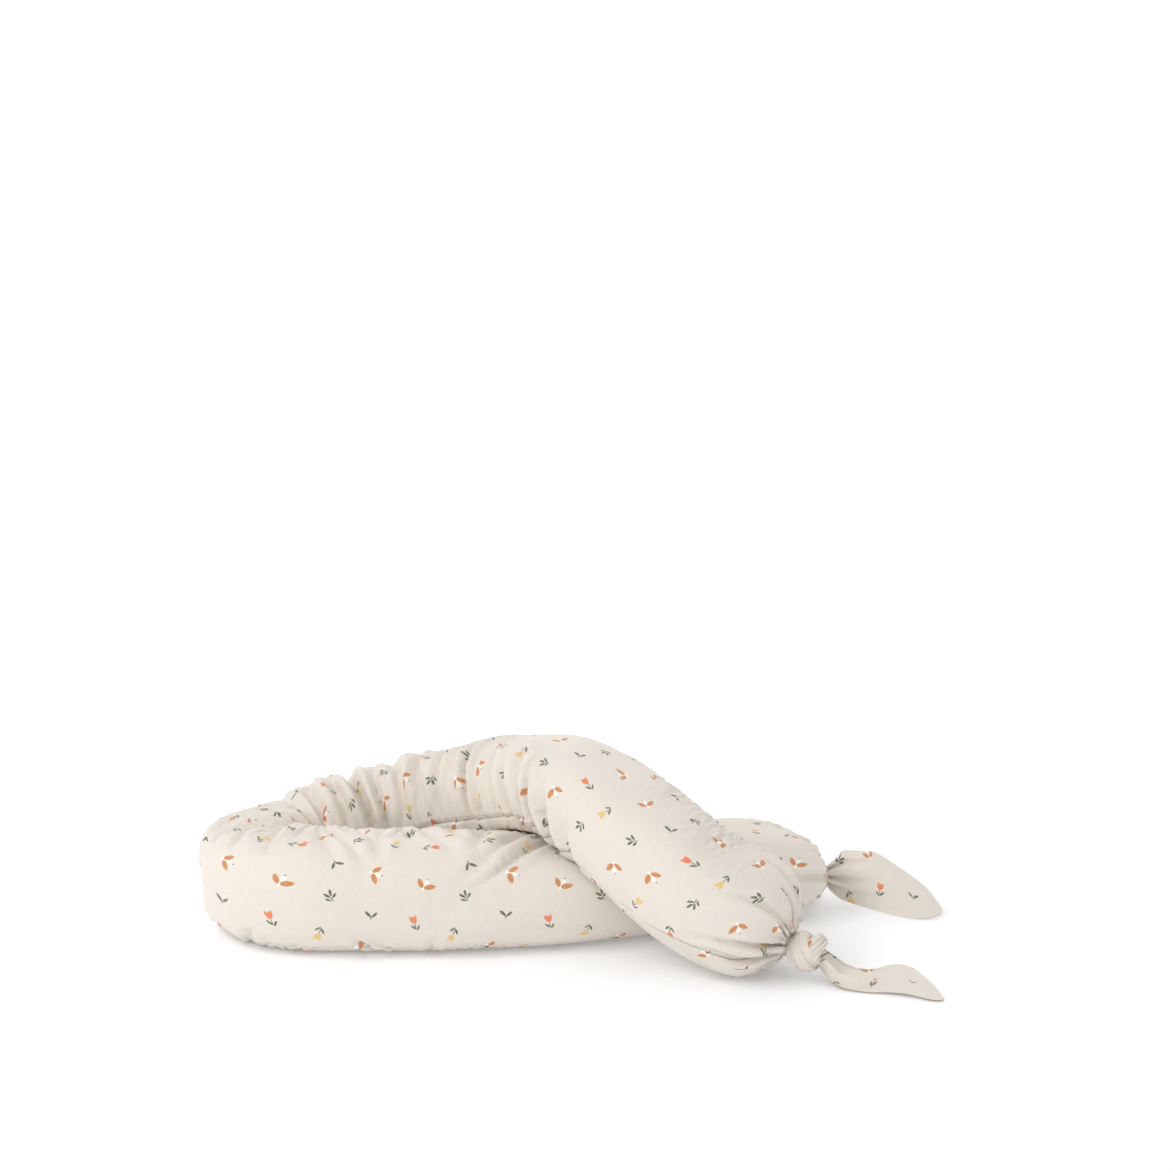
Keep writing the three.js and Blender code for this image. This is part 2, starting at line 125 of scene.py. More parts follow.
def spline(points, t, power):
    """A Catmull-Rom spline at shares t of its points; power 0.5 makes it centripetal, 0 uniform."""
    points = np.vstack([2 * points[0] - points[1], points, 2 * points[-1] - points[-2]])
    place = t * (len(points) - 3)
    k = np.clip(np.floor(place).astype(int), 0, len(points) - 4)
    w = (place - k)[:, None]
    p0, p1, p2, p3 = (points[k + i] for i in range(4))
    pairs = ((p0, p1), (p1, p2), (p2, p3))
    s0, s1, s2 = (norm(b - a, axis=1)[:, None] ** power for a, b in pairs)
    m1 = ((p1 - p0) / s0 - (p2 - p0) / (s0 + s1) + (p2 - p1) / s1) * s1
    m2 = ((p2 - p1) / s1 - (p3 - p1) / (s1 + s2) + (p3 - p2) / s2) * s1
    c2 = 3 * (p2 - p1) - 2 * m1 - m2
    c3 = 2 * (p1 - p2) + m1 + m2
    return p1 + w * (m1 + w * (c2 + w * c3))


def route_centres(t):
    centres = ROUTE[:, :3].copy()
    centres[:, 2] += ROUTE[:, 4]
    return spline(centres * MM, t, 0.5)


def sections_at(t):
    """Frames and sizes of the cross-sections at shares t of the route."""
    nudge = 1e-4
    ahead, behind = route_centres(np.minimum(t + nudge, 1)), route_centres(np.maximum(t - nudge, 0))
    tangent = unit(ahead - behind)
    side = unit(np.cross(UP, tangent))
    sizes = spline(ROUTE[:, 3:], t, 0.0)
    return {
        "t": t,
        "centre": route_centres(t),
        "tangent": tangent,
        "side": side,
        "up": np.cross(tangent, side),
        "half_width": sizes[:, 0] * MM,
        "half_height": sizes[:, 1] * MM,
        "lean": sizes[:, 2] * MM,
        "square": sizes[:, 3],
        "seam": -np.radians(sizes[:, 4]),
    }


def signed_power(value, power):
    return np.sign(value) * np.abs(value) ** power


def outline(section, i, angles):
    """Points across and up of one section's rounded-square outline."""
    power = 2 / section["square"][i]
    upward = signed_power(np.sin(angles), power)
    across = signed_power(np.cos(angles), power)
    return (
        section["half_width"][i] * across + section["lean"][i] * upward,
        section["half_height"][i] * upward,
    )


def ring(section, i, columns):
    """One section's ring, evenly spaced along each of the two panels."""
    points = []
    for panel_number in (0, 1):
        angles = section["seam"][i] + math.pi * panel_number + np.linspace(0, math.pi, 121)
        across, upward = outline(section, i, angles)
        travelled = np.append(0, np.cumsum(np.hypot(np.diff(across), np.diff(upward))))
        wanted = np.linspace(0, travelled[-1], columns // 2, endpoint=False)
        a = np.interp(wanted, travelled, across)[:, None]
        u = np.interp(wanted, travelled, upward)[:, None]
        points.append(section["centre"][i] + a * section["side"][i] + u * section["up"][i])
    return np.vstack(points)


def rings(shares, columns):
    section = sections_at(shares)
    return section, np.array([ring(section, i, columns) for i in range(len(shares))])


def evenly_spaced_shares(count):
    """Shares of the route at equal distances along the skin, so that the end caps get rows too."""
    t = np.linspace(0, 1, FINE_ROWS)
    _, skin = rings(t, FEW_COLUMNS)
    steps = norm(np.diff(skin, axis=0), axis=2).mean(1)
    travelled = np.append(0, np.cumsum(steps))
    return np.interp(np.linspace(0, travelled[-1], count), travelled, t), travelled[-1]


def only(section, chosen):
    """The chosen rows of a section's values."""
    return {name: values[chosen] for name, values in section.items()}


def push_out_of_wall(points, wall, clearance):
    """Moves points out of the front wall's sections, straight away from the wall's centre line."""
    flat = points.reshape(-1, 3).copy()
    every = 4
    coarse = wall["centre"][::every]
    k = ((flat[:, None, :] - coarse[None]) ** 2).sum(2).argmin(1) * every
    away = flat - wall["centre"][k]
    along = (away * wall["tangent"][k]).sum(1)[:, None] * wall["tangent"][k]
    away -= along
    across = np.abs((away * wall["side"][k]).sum(1)) / (wall["half_width"][k] + clearance)
    upward = np.abs((away * wall["up"][k]).sum(1)) / (wall["half_height"][k] + clearance)
    p = wall["square"][k]
    reach = (across**p + upward**p) ** (1 / p)
    inside = reach < 1
    moved = wall["centre"][k] + along + away / np.maximum(reach, 1e-3)[:, None]
    flat[inside] = moved[inside]
    return flat.reshape(points.shape)


def spread_rows(grid, section, least):
    """Moves rows apart along the tube where they would pass each other inside a tight bend."""
    along = unit(section["tangent"][1:] + section["tangent"][:-1])[:, None]
    for _ in range(EASING_PASSES):
        for start in (0, 1):
            a, b, way = grid[start:-1:2], grid[start + 1 :: 2], along[start::2]
            missing = np.maximum(least - ((b - a) * way).sum(-1, keepdims=True), 0)
            a -= 0.5 * missing * way
            b += 0.5 * missing * way
    return grid


def ease_along(grid):
    """Evens out small kinks along the tube, away from its two ends."""
    inner = np.clip(from_end / 0.02 - 2, 0, 1)[1:-1, None, None]
    for _ in range(EASING_PASSES):
        grid[1:-1] += 0.25 * inner * (grid[2:] + grid[:-2] - 2 * grid[1:-1])
    return grid


def keep_above_floor(points):
    """Lifts points that are below the floor onto it, in place."""
    points[..., 2] = np.maximum(points[..., 2], 0)


shares, skin_length = evenly_spaced_shares(ROWS)
distance = np.linspace(0, skin_length, ROWS)  # along the skin, from knot A
from_end = np.minimum(distance, skin_length - distance)  # from the nearer knot
turn = np.arange(COLUMNS) / COLUMNS  # 0 outer seam, 0.25 top, 0.5 inner seam, 0.75 underside
section, tube = rings(shares, COLUMNS)
wall = only(section, (shares >= WALL_PART[0]) & (shares <= WALL_PART[1]))
arm_rows = (shares >= ARM_PART[0]) & (shares <= ARM_PART[1])
tube[arm_rows] = push_out_of_wall(tube[arm_rows], wall, ARM_CLEARANCE)
keep_above_floor(tube)
tube = ease_along(spread_rows(tube, section, LEAST_STEP))


def grid_normals(x):
    """Outward normals of a grid that is closed around the tube."""
    along = np.empty_like(x)
    along[1:-1] = x[2:] - x[:-2]
    along[0], along[-1] = x[1] - x[0], x[-1] - x[-2]
    around = np.roll(x, -1, 1) - np.roll(x, 1, 1)
    return unit(np.cross(around, along))


def smooth_grid(values, passes):
    """Averages a field over neighbouring grid points."""
    for _ in range(passes):
        values = 0.5 * values + 0.25 * (np.roll(values, 1, 1) + np.roll(values, -1, 1))
        padded = np.concatenate([values[:1], values, values[-1:]])
        values = 0.5 * values + 0.25 * (padded[2:] + padded[:-2])
    return values


# ---- folds laid into the cloth

girth_of_row = norm(np.roll(tube, -1, 1) - tube, axis=2).sum(1)
NOMINAL_LENGTH = 1.776  # the folds' places along the tube are for a tube of this length
centre_steps = norm(np.diff(section["centre"], axis=0), axis=1)
travelled_share = np.append(0, np.cumsum(centre_steps)) / centre_steps.sum()  # at each row


def around_from(place):
    """Distance around the skin from a place on it, in metres, at each grid point."""
    gap = (turn[None] - place + 0.5) % 1 - 0.5
    return gap * girth_of_row[:, None]


def along_at(place):
    """Distance along the skin of a place given along the nominal tube."""
    return np.interp(place / NOMINAL_LENGTH, travelled_share, distance)


def valley_and_rolls(x, width, roll_height, roll_place, roll_width):
    """A sharp valley at x = 0 with a rounded roll on each side, placed in valley widths."""
    rolls = roll_height * bell((np.abs(x) - roll_place * width) / (roll_width * width))
    return rolls - np.exp(-np.abs(x) / width)


def crease(s, t, slant, length, depth, width):
    """A fold across the tube. s and t are its middle along and around the tube, slant is the
    shift along for each metre around."""
    y = around_from(t)
    x = distance[:, None] - along_at(s) - slant * y - 0.04 * length * np.sin(y / length * 5)
    ends = step_up(0.5 * length - np.abs(y), 0, 0.35 * length)
    return depth * valley_and_rolls(x, width, 0.55, 2.3, 1.3) * ends


# Folds of the laid loop: place along (m), place around (share of the girth),
# slant, length, depth and width (mm).
FOLDS = [
    # rear wall, its side that faces the loop's inside
    (0.975, 0.290, -0.25, 140, 9, 7.0),
    (1.012, 0.330, -0.10, 150, 12, 6.5),
    (1.046, 0.335, 0.06, 230, 20, 7.0),
    (1.080, 0.385, 0.02, 150, 12, 6.0),
    (1.106, 0.285, 0.12, 150, 9, 6.5),
    (1.122, 0.375, -0.12, 120, 7, 5.5),
    (1.150, 0.330, 0.08, 170, 10, 6.0),
    (1.172, 0.410, 0.05, 90, 5, 5.0),
    (1.196, 0.360, -0.06, 150, 9, 6.0),
    (1.226, 0.330, 0.10, 110, 4, 7.0),
    (1.260, 0.385, -0.03, 170, 18, 5.5),
    (1.284, 0.440, 0.10, 90, 6, 5.0),
    (1.318, 0.390, 0.02, 120, 6, 7.0),
    (1.352, 0.440, 0.15, 110, 8, 6.0),
    (1.386, 0.415, 0.28, 130, 9, 7.0),
    (1.420, 0.455, 0.42, 130, 14, 6.0),
    (1.462, 0.480, 0.50, 130, 13, 6.5),
    (1.500, 0.490, 0.50, 90, 6, 7.0),
    # the curl, inner side
    (0.970, 0.300, -0.25, 130, 8, 9.0),
    (0.935, 0.400, -0.10, 120, 9, 8.0),
    (0.900, 0.420, 0.00, 110, 9, 8.0),
    (0.865, 0.420, 0.10, 110, 9, 8.0),
    (0.832, 0.400, 0.15, 120, 8, 7.5),
    (0.806, 0.370, 0.30, 110, 6, 7.0),
    (0.780, 0.330, 0.35, 90, 5, 7.0),
    # top of the front wall, towards its inner seam
    (0.745, 0.370, 0.20, 150, 6, 8.0),
    (0.712, 0.380, -0.10, 100, 4, 8.0),
    (0.682, 0.360, 0.25, 160, 6, 9.0),
    (0.655, 0.340, 0.50, 150, 6, 7.0),
    (0.628, 0.400, 0.30, 110, 4, 7.0),
    (0.606, 0.350, -0.15, 140, 5, 8.0),
    (0.584, 0.400, -0.60, 60, 6, 4.0),
    (0.574, 0.395, 0.40, 56, 6, 4.0),
    (0.560, 0.405, 0.90, 50, 5, 4.0),
    (0.535, 0.370, 0.30, 140, 5, 8.0),
    (0.510, 0.390, 0.10, 90, 4, 7.0),
    (0.480, 0.350, -0.30, 150, 6, 8.0),
    (0.455, 0.320, -0.80, 150, 8, 7.0),
    (0.428, 0.290, -1.10, 140, 8, 7.0),
    # tucks at the seam along the floor
    (0.612, 0.000, 0.70, 54, 14, 6.0),
    (0.600, 0.020, 1.10, 40, 5, 5.0),
    (0.752, 0.000, -0.50, 70, 10, 5.0),
    (0.700, 0.010, 0.30, 40, 2, 5.0),
    (0.540, 0.005, -0.30, 60, 5, 5.0),
    (0.820, 0.020, 0.10, 70, 8, 6.0),
    (0.890, 0.030, 0.10, 70, 7, 6.0),
    # the arm: a long dent beside its inner seam, and a fold under knot B
    (1.600, 0.470, 0.30, 90, 3, 9.0),
    (1.735, 0.600, 1.60, 90, 7, 6.0),
]

# Places where the stuffing bulges: place along (m), place around (share of the girth), reach
# along and around, height (mm).
BULGES = [
    (0.990, 0.235, 30, 55, 6),
    (0.944, 0.240, 10, 60, -8),
    (1.060, 0.245, 16, 45, 5),
    (1.130, 0.250, 22, 45, 5),
    (1.722, 0.150, 42, 80, 9),
    (1.735, 0.660, 26, 50, 13),
    (0.060, 0.700, 30, 60, 6),
]


def designed_folds():
    total = np.zeros(tube.shape[:2])
    for s, t, slant, length, depth, width in FOLDS:
        total += crease(s, t, slant, length * MM, depth * MM, width * MM)
    for s, t, reach_along, reach_around, height in BULGES:
        x = (distance - along_at(s)) / (reach_along * MM)
        y = around_from(t) / (reach_around * MM)
        total += height * MM * np.exp(-(x[:, None] ** 2) - y**2)
    return total


PLEATS = 19  # around each knot
PLEAT_REACH = (0.055, 0.170)
PLEAT_DEPTH = (5.5, 12.0)  # mm
PLEAT_DRIFT = 0.30  # at most, around the tube for each metre along it
SHOULDER = 0.062  # where the stuffing swells most, from the knot
PLEAT_SEEDS = (11, 12)  # at knot A and at knot B
PUCKER_PITCH = 0.011  # along the seams
SEAM_DEPTH = 1.7 * MM
SEAM_ROLL = 0.5 * MM  # height of the low roll on each side of a seam
THROAT = 0.010  # the last stretch before a knot, where the folds fade out


def pleats_at(from_knot, seed):
    """Pleats that run from a knot's throat up the stuffed end, of uneven length and depth."""
    rng = np.random.default_rng(seed)
    total = np.zeros(tube.shape[:2])
    places = (np.arange(PLEATS) + rng.uniform(-0.3, 0.3, PLEATS)) / PLEATS
    d = from_knot[:, None]
    for place in places:
        reach = rng.uniform(*PLEAT_REACH)
        depth = rng.uniform(*PLEAT_DEPTH) * MM
        drift = rng.uniform(-PLEAT_DRIFT, PLEAT_DRIFT)
        x = around_from(place) - drift * np.maximum(d - 0.02, 0)
        width = (1.2 + 34 * np.minimum(d, 0.08)) * MM
        fade = np.clip(1 - d / reach, 0, 1) ** 1.1 * np.clip(0.3 + d / 0.016, 0, 1)
        total += depth * fade * valley_and_rolls(x, width, 0.45, 2.2, 1.2)
    return total


def knot_pleats():
    return pleats_at(distance, PLEAT_SEEDS[0]) + pleats_at(skin_length - distance, PLEAT_SEEDS[1])


def end_lobes(from_knot, swell, phase):
    """The stuffing swells the shoulders around each knot, more in some places than in others."""
    d = from_knot[:, None] - SHOULDER
    width = np.where(d > 0, 0.11, 0.030)  # it fades slowly towards the middle, fast at the knot
    uneven = 1 + 0.3 * full_wave(2 * turn + phase) + 0.15 * full_wave(5 * turn - phase)
    return swell * bell(d / width) * uneven[None]


def soft_lumps(seed, spacing, height):
    """Slow uneven swelling of the stuffing."""
    rng = np.random.default_rng(seed)
    total = np.zeros(tube.shape[:2])
    for _ in range(9):
        waves_around = rng.integers(1, 5)
        length = spacing * rng.uniform(0.7, 1.8)
        phase = rng.uniform(0, 2 * math.pi, 2)
        along = np.sin(2 * math.pi * distance / length + phase[0])[:, None]
        around = np.sin(2 * math.pi * waves_around * turn + phase[1])[None]
        total += along * around
    return total * height / 3


def seam_valley():
    """The two panels turn in at each seam, a little unevenly."""
    total = np.zeros(tube.shape[:2])
    stitches = np.arange(0, skin_length + 0.02, PUCKER_PITCH)
    for place, seed in ((0.0, 3), (0.5, 4)):
        drawn = np.random.default_rng(seed).uniform(0.7, 1.3, len(stitches))
        pucker = np.interp(distance, stitches, drawn)
        x = around_from(place)
        total -= SEAM_DEPTH * pucker[:, None] * np.exp(-np.abs(x) / (2.4 * MM))
        total += SEAM_ROLL * bell((np.abs(x) - 7 * MM) / (4 * MM))
    return total


def designed_skin():
    normal = grid_normals(tube)
    shape = designed_folds() + soft_lumps(5, 0.20, 2.2 * MM)
    shape += knot_pleats()
    shape += end_lobes(distance, 6 * MM, 0.1) + end_lobes(skin_length - distance, 7 * MM, 0.35)
    shape += seam_valley()
    shape *= np.clip(from_end[:, None] / THROAT, 0, 1)
    # The underside, which rests on the floor, stays flat.
    resting = np.clip(1 - tube[..., 2] / (30 * MM), 0, 1) * np.clip(-2 * normal[..., 2], 0, 1)
    x = tube + (shape * (1 - resting))[..., None] * normal
    keep_above_floor(x)
    x[arm_rows] = push_out_of_wall(x[arm_rows], wall, ARM_CLEARANCE)
    return x


# ---- cloth solver

STEPS = 160
WALL_EVERY = 6  # steps between two checks of the arm against the front wall
OUTER_SHARE = 85  # per cent; the cloth is as long as the tube is this far towards a bend's outside
MORE_CLOTH = 1.22  # but at most this much longer than the designed skin
SLACK_AROUND = 1.01
START_NOISE = 3 * MM
HOLD, HOLD_AT_KNOTS = 0.03, 0.10  # share of the way to the design in one step, and what is added
SLIDE = 0.3  # share of the hold that also works along the surface
BEND, BEND_LESS_AT_KNOTS = 0.05, 0.03  # how strongly the cloth resists bending


def pull(a, b, rest, stretch=1.0, squeeze=0.95):
    """Moves both ends of the edges a-b towards their rest length, in place."""
    d = b - a
    length = np.sqrt((d * d).sum(-1, keepdims=True)) + 1e-9
    over = (length - rest) / length
    d *= 0.5 * np.where(over > 0, stretch, squeeze) * over
    a += d
    b -= d


def settle(x, goal, rest_along, rest_around, hold, bend):
    """Lets the cloth settle: edges keep their length, stuffing pushes it out to its goal, it
    resists sharp bends, and the floor and the front wall stop it."""
    rest_diagonal = np.sqrt(rest_along**2 + rest_around[:-1] ** 2)[..., None]
    rest_along = rest_along[..., None]
    rest_around = rest_around[..., None]
    normal = grid_normals(goal)
    for step in range(STEPS):
        for start in (0, 1):
            pull(x[start:-1:2], x[start + 1 :: 2], rest_along[start::2])
        for start in (0, 1):
            near = x if start == 0 else np.roll(x, -1, 1)
            pull(near[:, 0::2], near[:, 1::2], rest_around[:, start::2], squeeze=0.9)
            if start == 1:
                x = np.roll(near, 1, 1)
        for start in (0, 1):
            for way in (1, -1):
                a, b = x[start:-1:2], x[start + 1 :: 2]
                rolled = np.roll(b, -way, 1)
                pull(a, rolled, rest_diagonal[start::2], stretch=0.25, squeeze=0.08)
                b[:] = np.roll(rolled, way, 1)
        middle = np.roll(x, 1, 1) + np.roll(x, -1, 1)
        middle[1:-1] = 0.25 * (middle[1:-1] + x[2:] + x[:-2])
        x[1:-1] += bend * (middle - x)[1:-1]
        off = goal - x
        outward = (off * normal).sum(-1, keepdims=True) * normal
        x += hold * outward + SLIDE * hold * (off - outward)
        if step % WALL_EVERY == WALL_EVERY - 1:
            x[arm_rows] = push_out_of_wall(x[arm_rows], wall, ARM_CLEARANCE)
        keep_above_floor(x)
        x[0], x[-1] = goal[0], goal[-1]
    return x


def settled_skin():
    goal = designed_skin()
    along = norm(np.diff(goal, axis=0), axis=2)
    around = norm(np.roll(goal, -1, 1) - goal, axis=2)
    flat_step = np.percentile(norm(np.diff(tube, axis=0), axis=2), OUTER_SHARE, axis=1)
    rest_along = np.clip(flat_step[:, None], along, along * MORE_CLOTH)
    rest_around = around * SLACK_AROUND
    # A little noise to start from lets the cloth find small creases of its own.
    noise = smooth_grid(np.random.default_rng(7).normal(0, START_NOISE, goal.shape[:2]), 2)
    start = goal + noise[..., None] * grid_normals(goal)
    near_knot = bell(from_end / 0.07)[:, None, None]
    hold = HOLD + HOLD_AT_KNOTS * near_knot
    bend = (BEND - BEND_LESS_AT_KNOTS * near_knot)[1:-1]
    return settle(start, goal, rest_along, rest_around, hold, bend)


# ---- the zip's arc

# The zip follows the circle through three places on the rear wall's outer seam, as in the CAD.
ZIP_SHARES = np.array([0.555, 0.605, 0.655])
COVER_UNDER_ZIP = 2.5 * MM  # from the arc; the tapes start at 3 mm
ZIP_FADE = (22 * MM, 4 * MM)  # beyond its ends, where the cover starts to fill out and is full
ZIP_BED = (32 * MM, 16 * MM)  # up and down the wall, the same
STOP_LENGTH = 3 * MM
LIP_BEYOND = 3 * MM  # the lips run on past the zip's ends


def circle_through(a, b, c):
    ab, ac = b - a, c - a
    normal = np.cross(ab, ac)
    to_centre = np.cross((ab @ ab) * ac - (ac @ ac) * ab, normal) / (2 * normal @ normal)
    axis = unit(normal)
    return a + to_centre, axis if axis[2] > 0 else -axis, norm(to_centre)


zip_start, zip_middle, zip_end = rings(ZIP_SHARES, 2)[1][:, 0]
zip_centre, zip_axis, zip_radius = circle_through(zip_start, zip_middle, zip_end)
zip_out = unit(zip_start - zip_centre)
zip_sideways = np.cross(zip_out, zip_axis)
zip_length = zip_radius * math.acos(float(zip_out @ unit(zip_end - zip_centre)))


def zip_place(along, down, height):
    """Points at distances along the zip, down the wall from its line, and out from the arc."""
    angle = np.asarray(along)[..., None] / zip_radius
    outward = np.cos(angle) * zip_out + np.sin(angle) * zip_sideways
    out = (zip_radius + np.asarray(height))[..., None] * outward
    return zip_centre + out - np.asarray(down)[..., None] * zip_axis


def lay_under_zip(x):
    """Fills the cover out to the underside of the zip's tapes, and keeps it below the zip."""
    away = x - zip_centre
    down = -(away @ zip_axis)
    flat = away + down[..., None] * zip_axis
    reach = norm(flat, axis=-1)
    along = zip_radius * np.arctan2(flat @ zip_sideways, flat @ zip_out)
    outside = reach > zip_radius - 40 * MM  # leaves out the inner side of the tube
    far, near = ZIP_FADE
    share = step_up(along, -far, -near) * step_up(zip_length - along, -far, -near)
    share = share * step_up(ZIP_BED[0] - np.abs(down), 0, ZIP_BED[1]) * outside
    wanted = zip_place(along, down, np.full(reach.shape, COVER_UNDER_ZIP))
    return x + share[..., None] * (wanted - x)


SEWN_COLUMNS = ((0, 2.3), (-1, 0.5), (1, 0.5))  # from the seam, and how far each is drawn in (mm)


def sewn_in(x):
    """Draws both seams in, with small puckers, so that they read as a sharp line."""
    normal = grid_normals(x)
    x = x.copy()
    pucker = np.random.default_rng(21).uniform(0.7, 1.3, (ROWS, 1))
    for place in (0, HALF):
        for offset, depth in SEWN_COLUMNS:
            column = (place + offset) % COLUMNS
            x[:, column] -= depth * MM * pucker * normal[:, column]
    keep_above_floor(x)
    return x


SECOND_PRESS = 0.85  # of the pleats' designed depth


def press_pleats(x):
    """Sharpens the pleats around both knots once more, after the cloth has settled."""
    fade = np.clip(from_end / THROAT, 0, 1)[:, None]
    x = x + (SECOND_PRESS * knot_pleats() * fade)[..., None] * grid_normals(x)
    keep_above_floor(x)
    return x


body = lay_under_zip(sewn_in(press_pleats(settled_skin())))


# ---- meshes


def add_object(name, data):
    made = bpy.data.objects.new(name, data)
    bpy.context.scene.collection.objects.link(made)
    return made


def mesh_piece(name, vertices, faces, uv=None):
    """A smooth-shaded mesh object; uv is one flat-cloth coordinate in metres per vertex."""
    mesh = bpy.data.meshes.new(name)
    mesh.from_pydata(np.asarray(vertices, float).tolist(), [], faces)
    if uv is not None:
        layer = mesh.uv_layers.new(name="cloth")
        corner = np.zeros(len(mesh.loops), np.int32)
        mesh.loops.foreach_get("vertex_index", corner)
        layer.data.foreach_set("uv", np.asarray(uv, np.float32)[corner].ravel())
    mesh.polygons.foreach_set("use_smooth", [True] * len(mesh.polygons))
    mesh.update()
    return add_object(name, mesh)


def grid_piece(name, grid, u, v):
    """A piece from a grid of points; u and v, in metres, are broadcast over it."""
    rows, columns = grid.shape[:2]
    i, j = np.meshgrid(np.arange(rows - 1), np.arange(columns - 1), indexing="ij")
    a = (i * columns + j).ravel()
    faces = np.stack([a, a + 1, a + columns + 1, a + columns], 1).tolist()
    uv = np.stack(np.broadcast_arrays(u, v), -1).reshape(-1, 2)
    return mesh_piece(name, grid.reshape(-1, 3), faces, uv)


def ring_faces(rings, sides, base=0, closed=False):
    """Quads between rings of vertices in a row; closed joins the last ring to the first."""
    faces = []
    for i in range(rings if closed else rings - 1):
        after = (i + 1) % rings
        for j in range(sides):
            k = (j + 1) % sides
            quad = (i * sides + j, i * sides + k, after * sides + k, after * sides + j)
            faces.append(tuple(base + corner for corner in quad))
    return faces


def dress(piece, material, node=None, rides=True):
    """Gives a piece its material, hides the CAD node it stands for if any, and lets it ride on the
    pillow.
    """
    piece.data.materials.append(material)
    if node:
        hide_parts(node)
    if rides:
        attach(piece, "pillow")


# ---- materials


def srgb(red, green, blue):
    """A colour given as 0-255 sRGB numbers, as linear values."""
    values = np.array([red, green, blue]) / 255
    linear = np.where(values > 0.04045, ((values + 0.055) / 1.055) ** 2.4, values / 12.92)
    return (*linear, 1.0)


CREAM = srgb(228, 220, 210)
TERRACOTTA = srgb(204, 136, 82)
CORAL = srgb(230, 130, 84)
STRAW = srgb(230, 196, 128)
SAGE = srgb(94, 108, 88)
WHITE = srgb(246, 243, 238)
DARK = srgb(84, 80, 76)


class Shader:
    """Short calls that add nodes to a node tree; a value is a socket to link or a constant."""

    def __init__(self, tree):
        self.tree = tree

    def feed(self, node, values):
        for place, value in dict(values).items():
            if isinstance(value, bpy.types.NodeSocket):
                self.tree.links.new(value, node.inputs[place])
            else:
                node.inputs[place].default_value = value

    def surface(self, values):
        self.feed(self.tree.nodes["Principled BSDF"], values)

    def add(self, kind, values=(), **settings):
        node = self.tree.nodes.new(kind)
        for name, value in settings.items():
            setattr(node, name, value)
        self.feed(node, values)
        return node

    def math(self, operation, *values, clamp=False):
        node = self.add("ShaderNodeMath", enumerate(values), operation=operation, use_clamp=clamp)
        return node.outputs[0]

    def multiply_add(self, value, factor, offset, clamp=False):
        return self.math("MULTIPLY_ADD", value, factor, offset, clamp=clamp)

    def vector(self, operation, *values):
        return self.add("ShaderNodeVectorMath", enumerate(values), operation=operation).outputs[0]

    def scale(self, vector, factor):
        values = {0: vector, "Scale": factor}
        return self.add("ShaderNodeVectorMath", values, operation="SCALE").outputs[0]

    def turn(self, vector, angle):
        values = {"Vector": vector, "Angle": angle}
        return self.add("ShaderNodeVectorRotate", values, rotation_type="Z_AXIS").outputs[0]

    def axes(self, vector):
        return self.add("ShaderNodeSeparateXYZ", {0: vector}).outputs

    def mix(self, factor, a, b):
        node = self.add("ShaderNodeMix", {0: factor, 6: a, 7: b}, data_type="RGBA")
        return node.outputs[2]

    def noise(self, place, scale, detail=2.0, roughness=0.5):
        values = {"Vector": place, "Scale": scale, "Detail": detail, "Roughness": roughness}
        return self.add("ShaderNodeTexNoise", values).outputs["Fac"]

    def streaks(self, place, x, y, detail):
        """Noise with a scale of its own along each direction of the cloth."""
        return self.noise(self.vector("MULTIPLY", place, (x, y, 1)), 1.0, detail)

    def threads(self, place, fine, coarse, detail):
        """Streaks along the cloth and across it, added up."""
        along = self.streaks(place, fine, coarse, detail)
        return self.math("ADD", along, self.streaks(place, coarse, fine, detail))

    def bump(self, strength, distance, height):
        values = {"Strength": strength, "Distance": distance, "Height": height}
        return self.add("ShaderNodeBump", values).outputs[0]

    def object_place(self):
        return self.add("ShaderNodeTexCoord").outputs["Object"]


def new_material(name):
    material = bpy.data.materials.new(name)
    material.use_nodes = True
    return Shader(material.node_tree), material


PETAL_EDGE = 7.0  # how sharp a petal's edge is


def petal_group():
    """One painted petal: 1 inside |x/length|^point + (y/width)^2 < 1, turned about its middle."""
    tree = bpy.data.node_groups.new("petal", "ShaderNodeTree")
    for name in ("Place", "Middle", "Turn", "Length", "Width", "Taper", "Point"):
        kind = "NodeSocketVector" if name in ("Place", "Middle") else "NodeSocketFloat"
        tree.interface.new_socket(name, in_out="INPUT", socket_type=kind)
    tree.interface.new_socket("Mask", in_out="OUTPUT", socket_type="NodeSocketFloat")
    shader = Shader(tree)
    given = shader.add("NodeGroupInput").outputs
    local = shader.vector("SUBTRACT", given["Place"], given["Middle"])
    axes = shader.axes(shader.turn(local, shader.math("MULTIPLY", given["Turn"], -1.0)))
    along = shader.math("DIVIDE", axes[0], given["Length"])
    pointed = shader.math("POWER", shader.math("ABSOLUTE", along), given["Point"])
    taper = shader.multiply_add(along, given["Taper"], 1.0)
    wide = shader.math("MULTIPLY", given["Width"], taper)
    across = shader.math("DIVIDE", axes[1], wide)
    total = shader.multiply_add(across, across, pointed)
    inside = shader.multiply_add(total, -PETAL_EDGE, PETAL_EDGE + 0.5, clamp=True)
    shader.add("NodeGroupOutput", {"Mask": inside})
    return tree


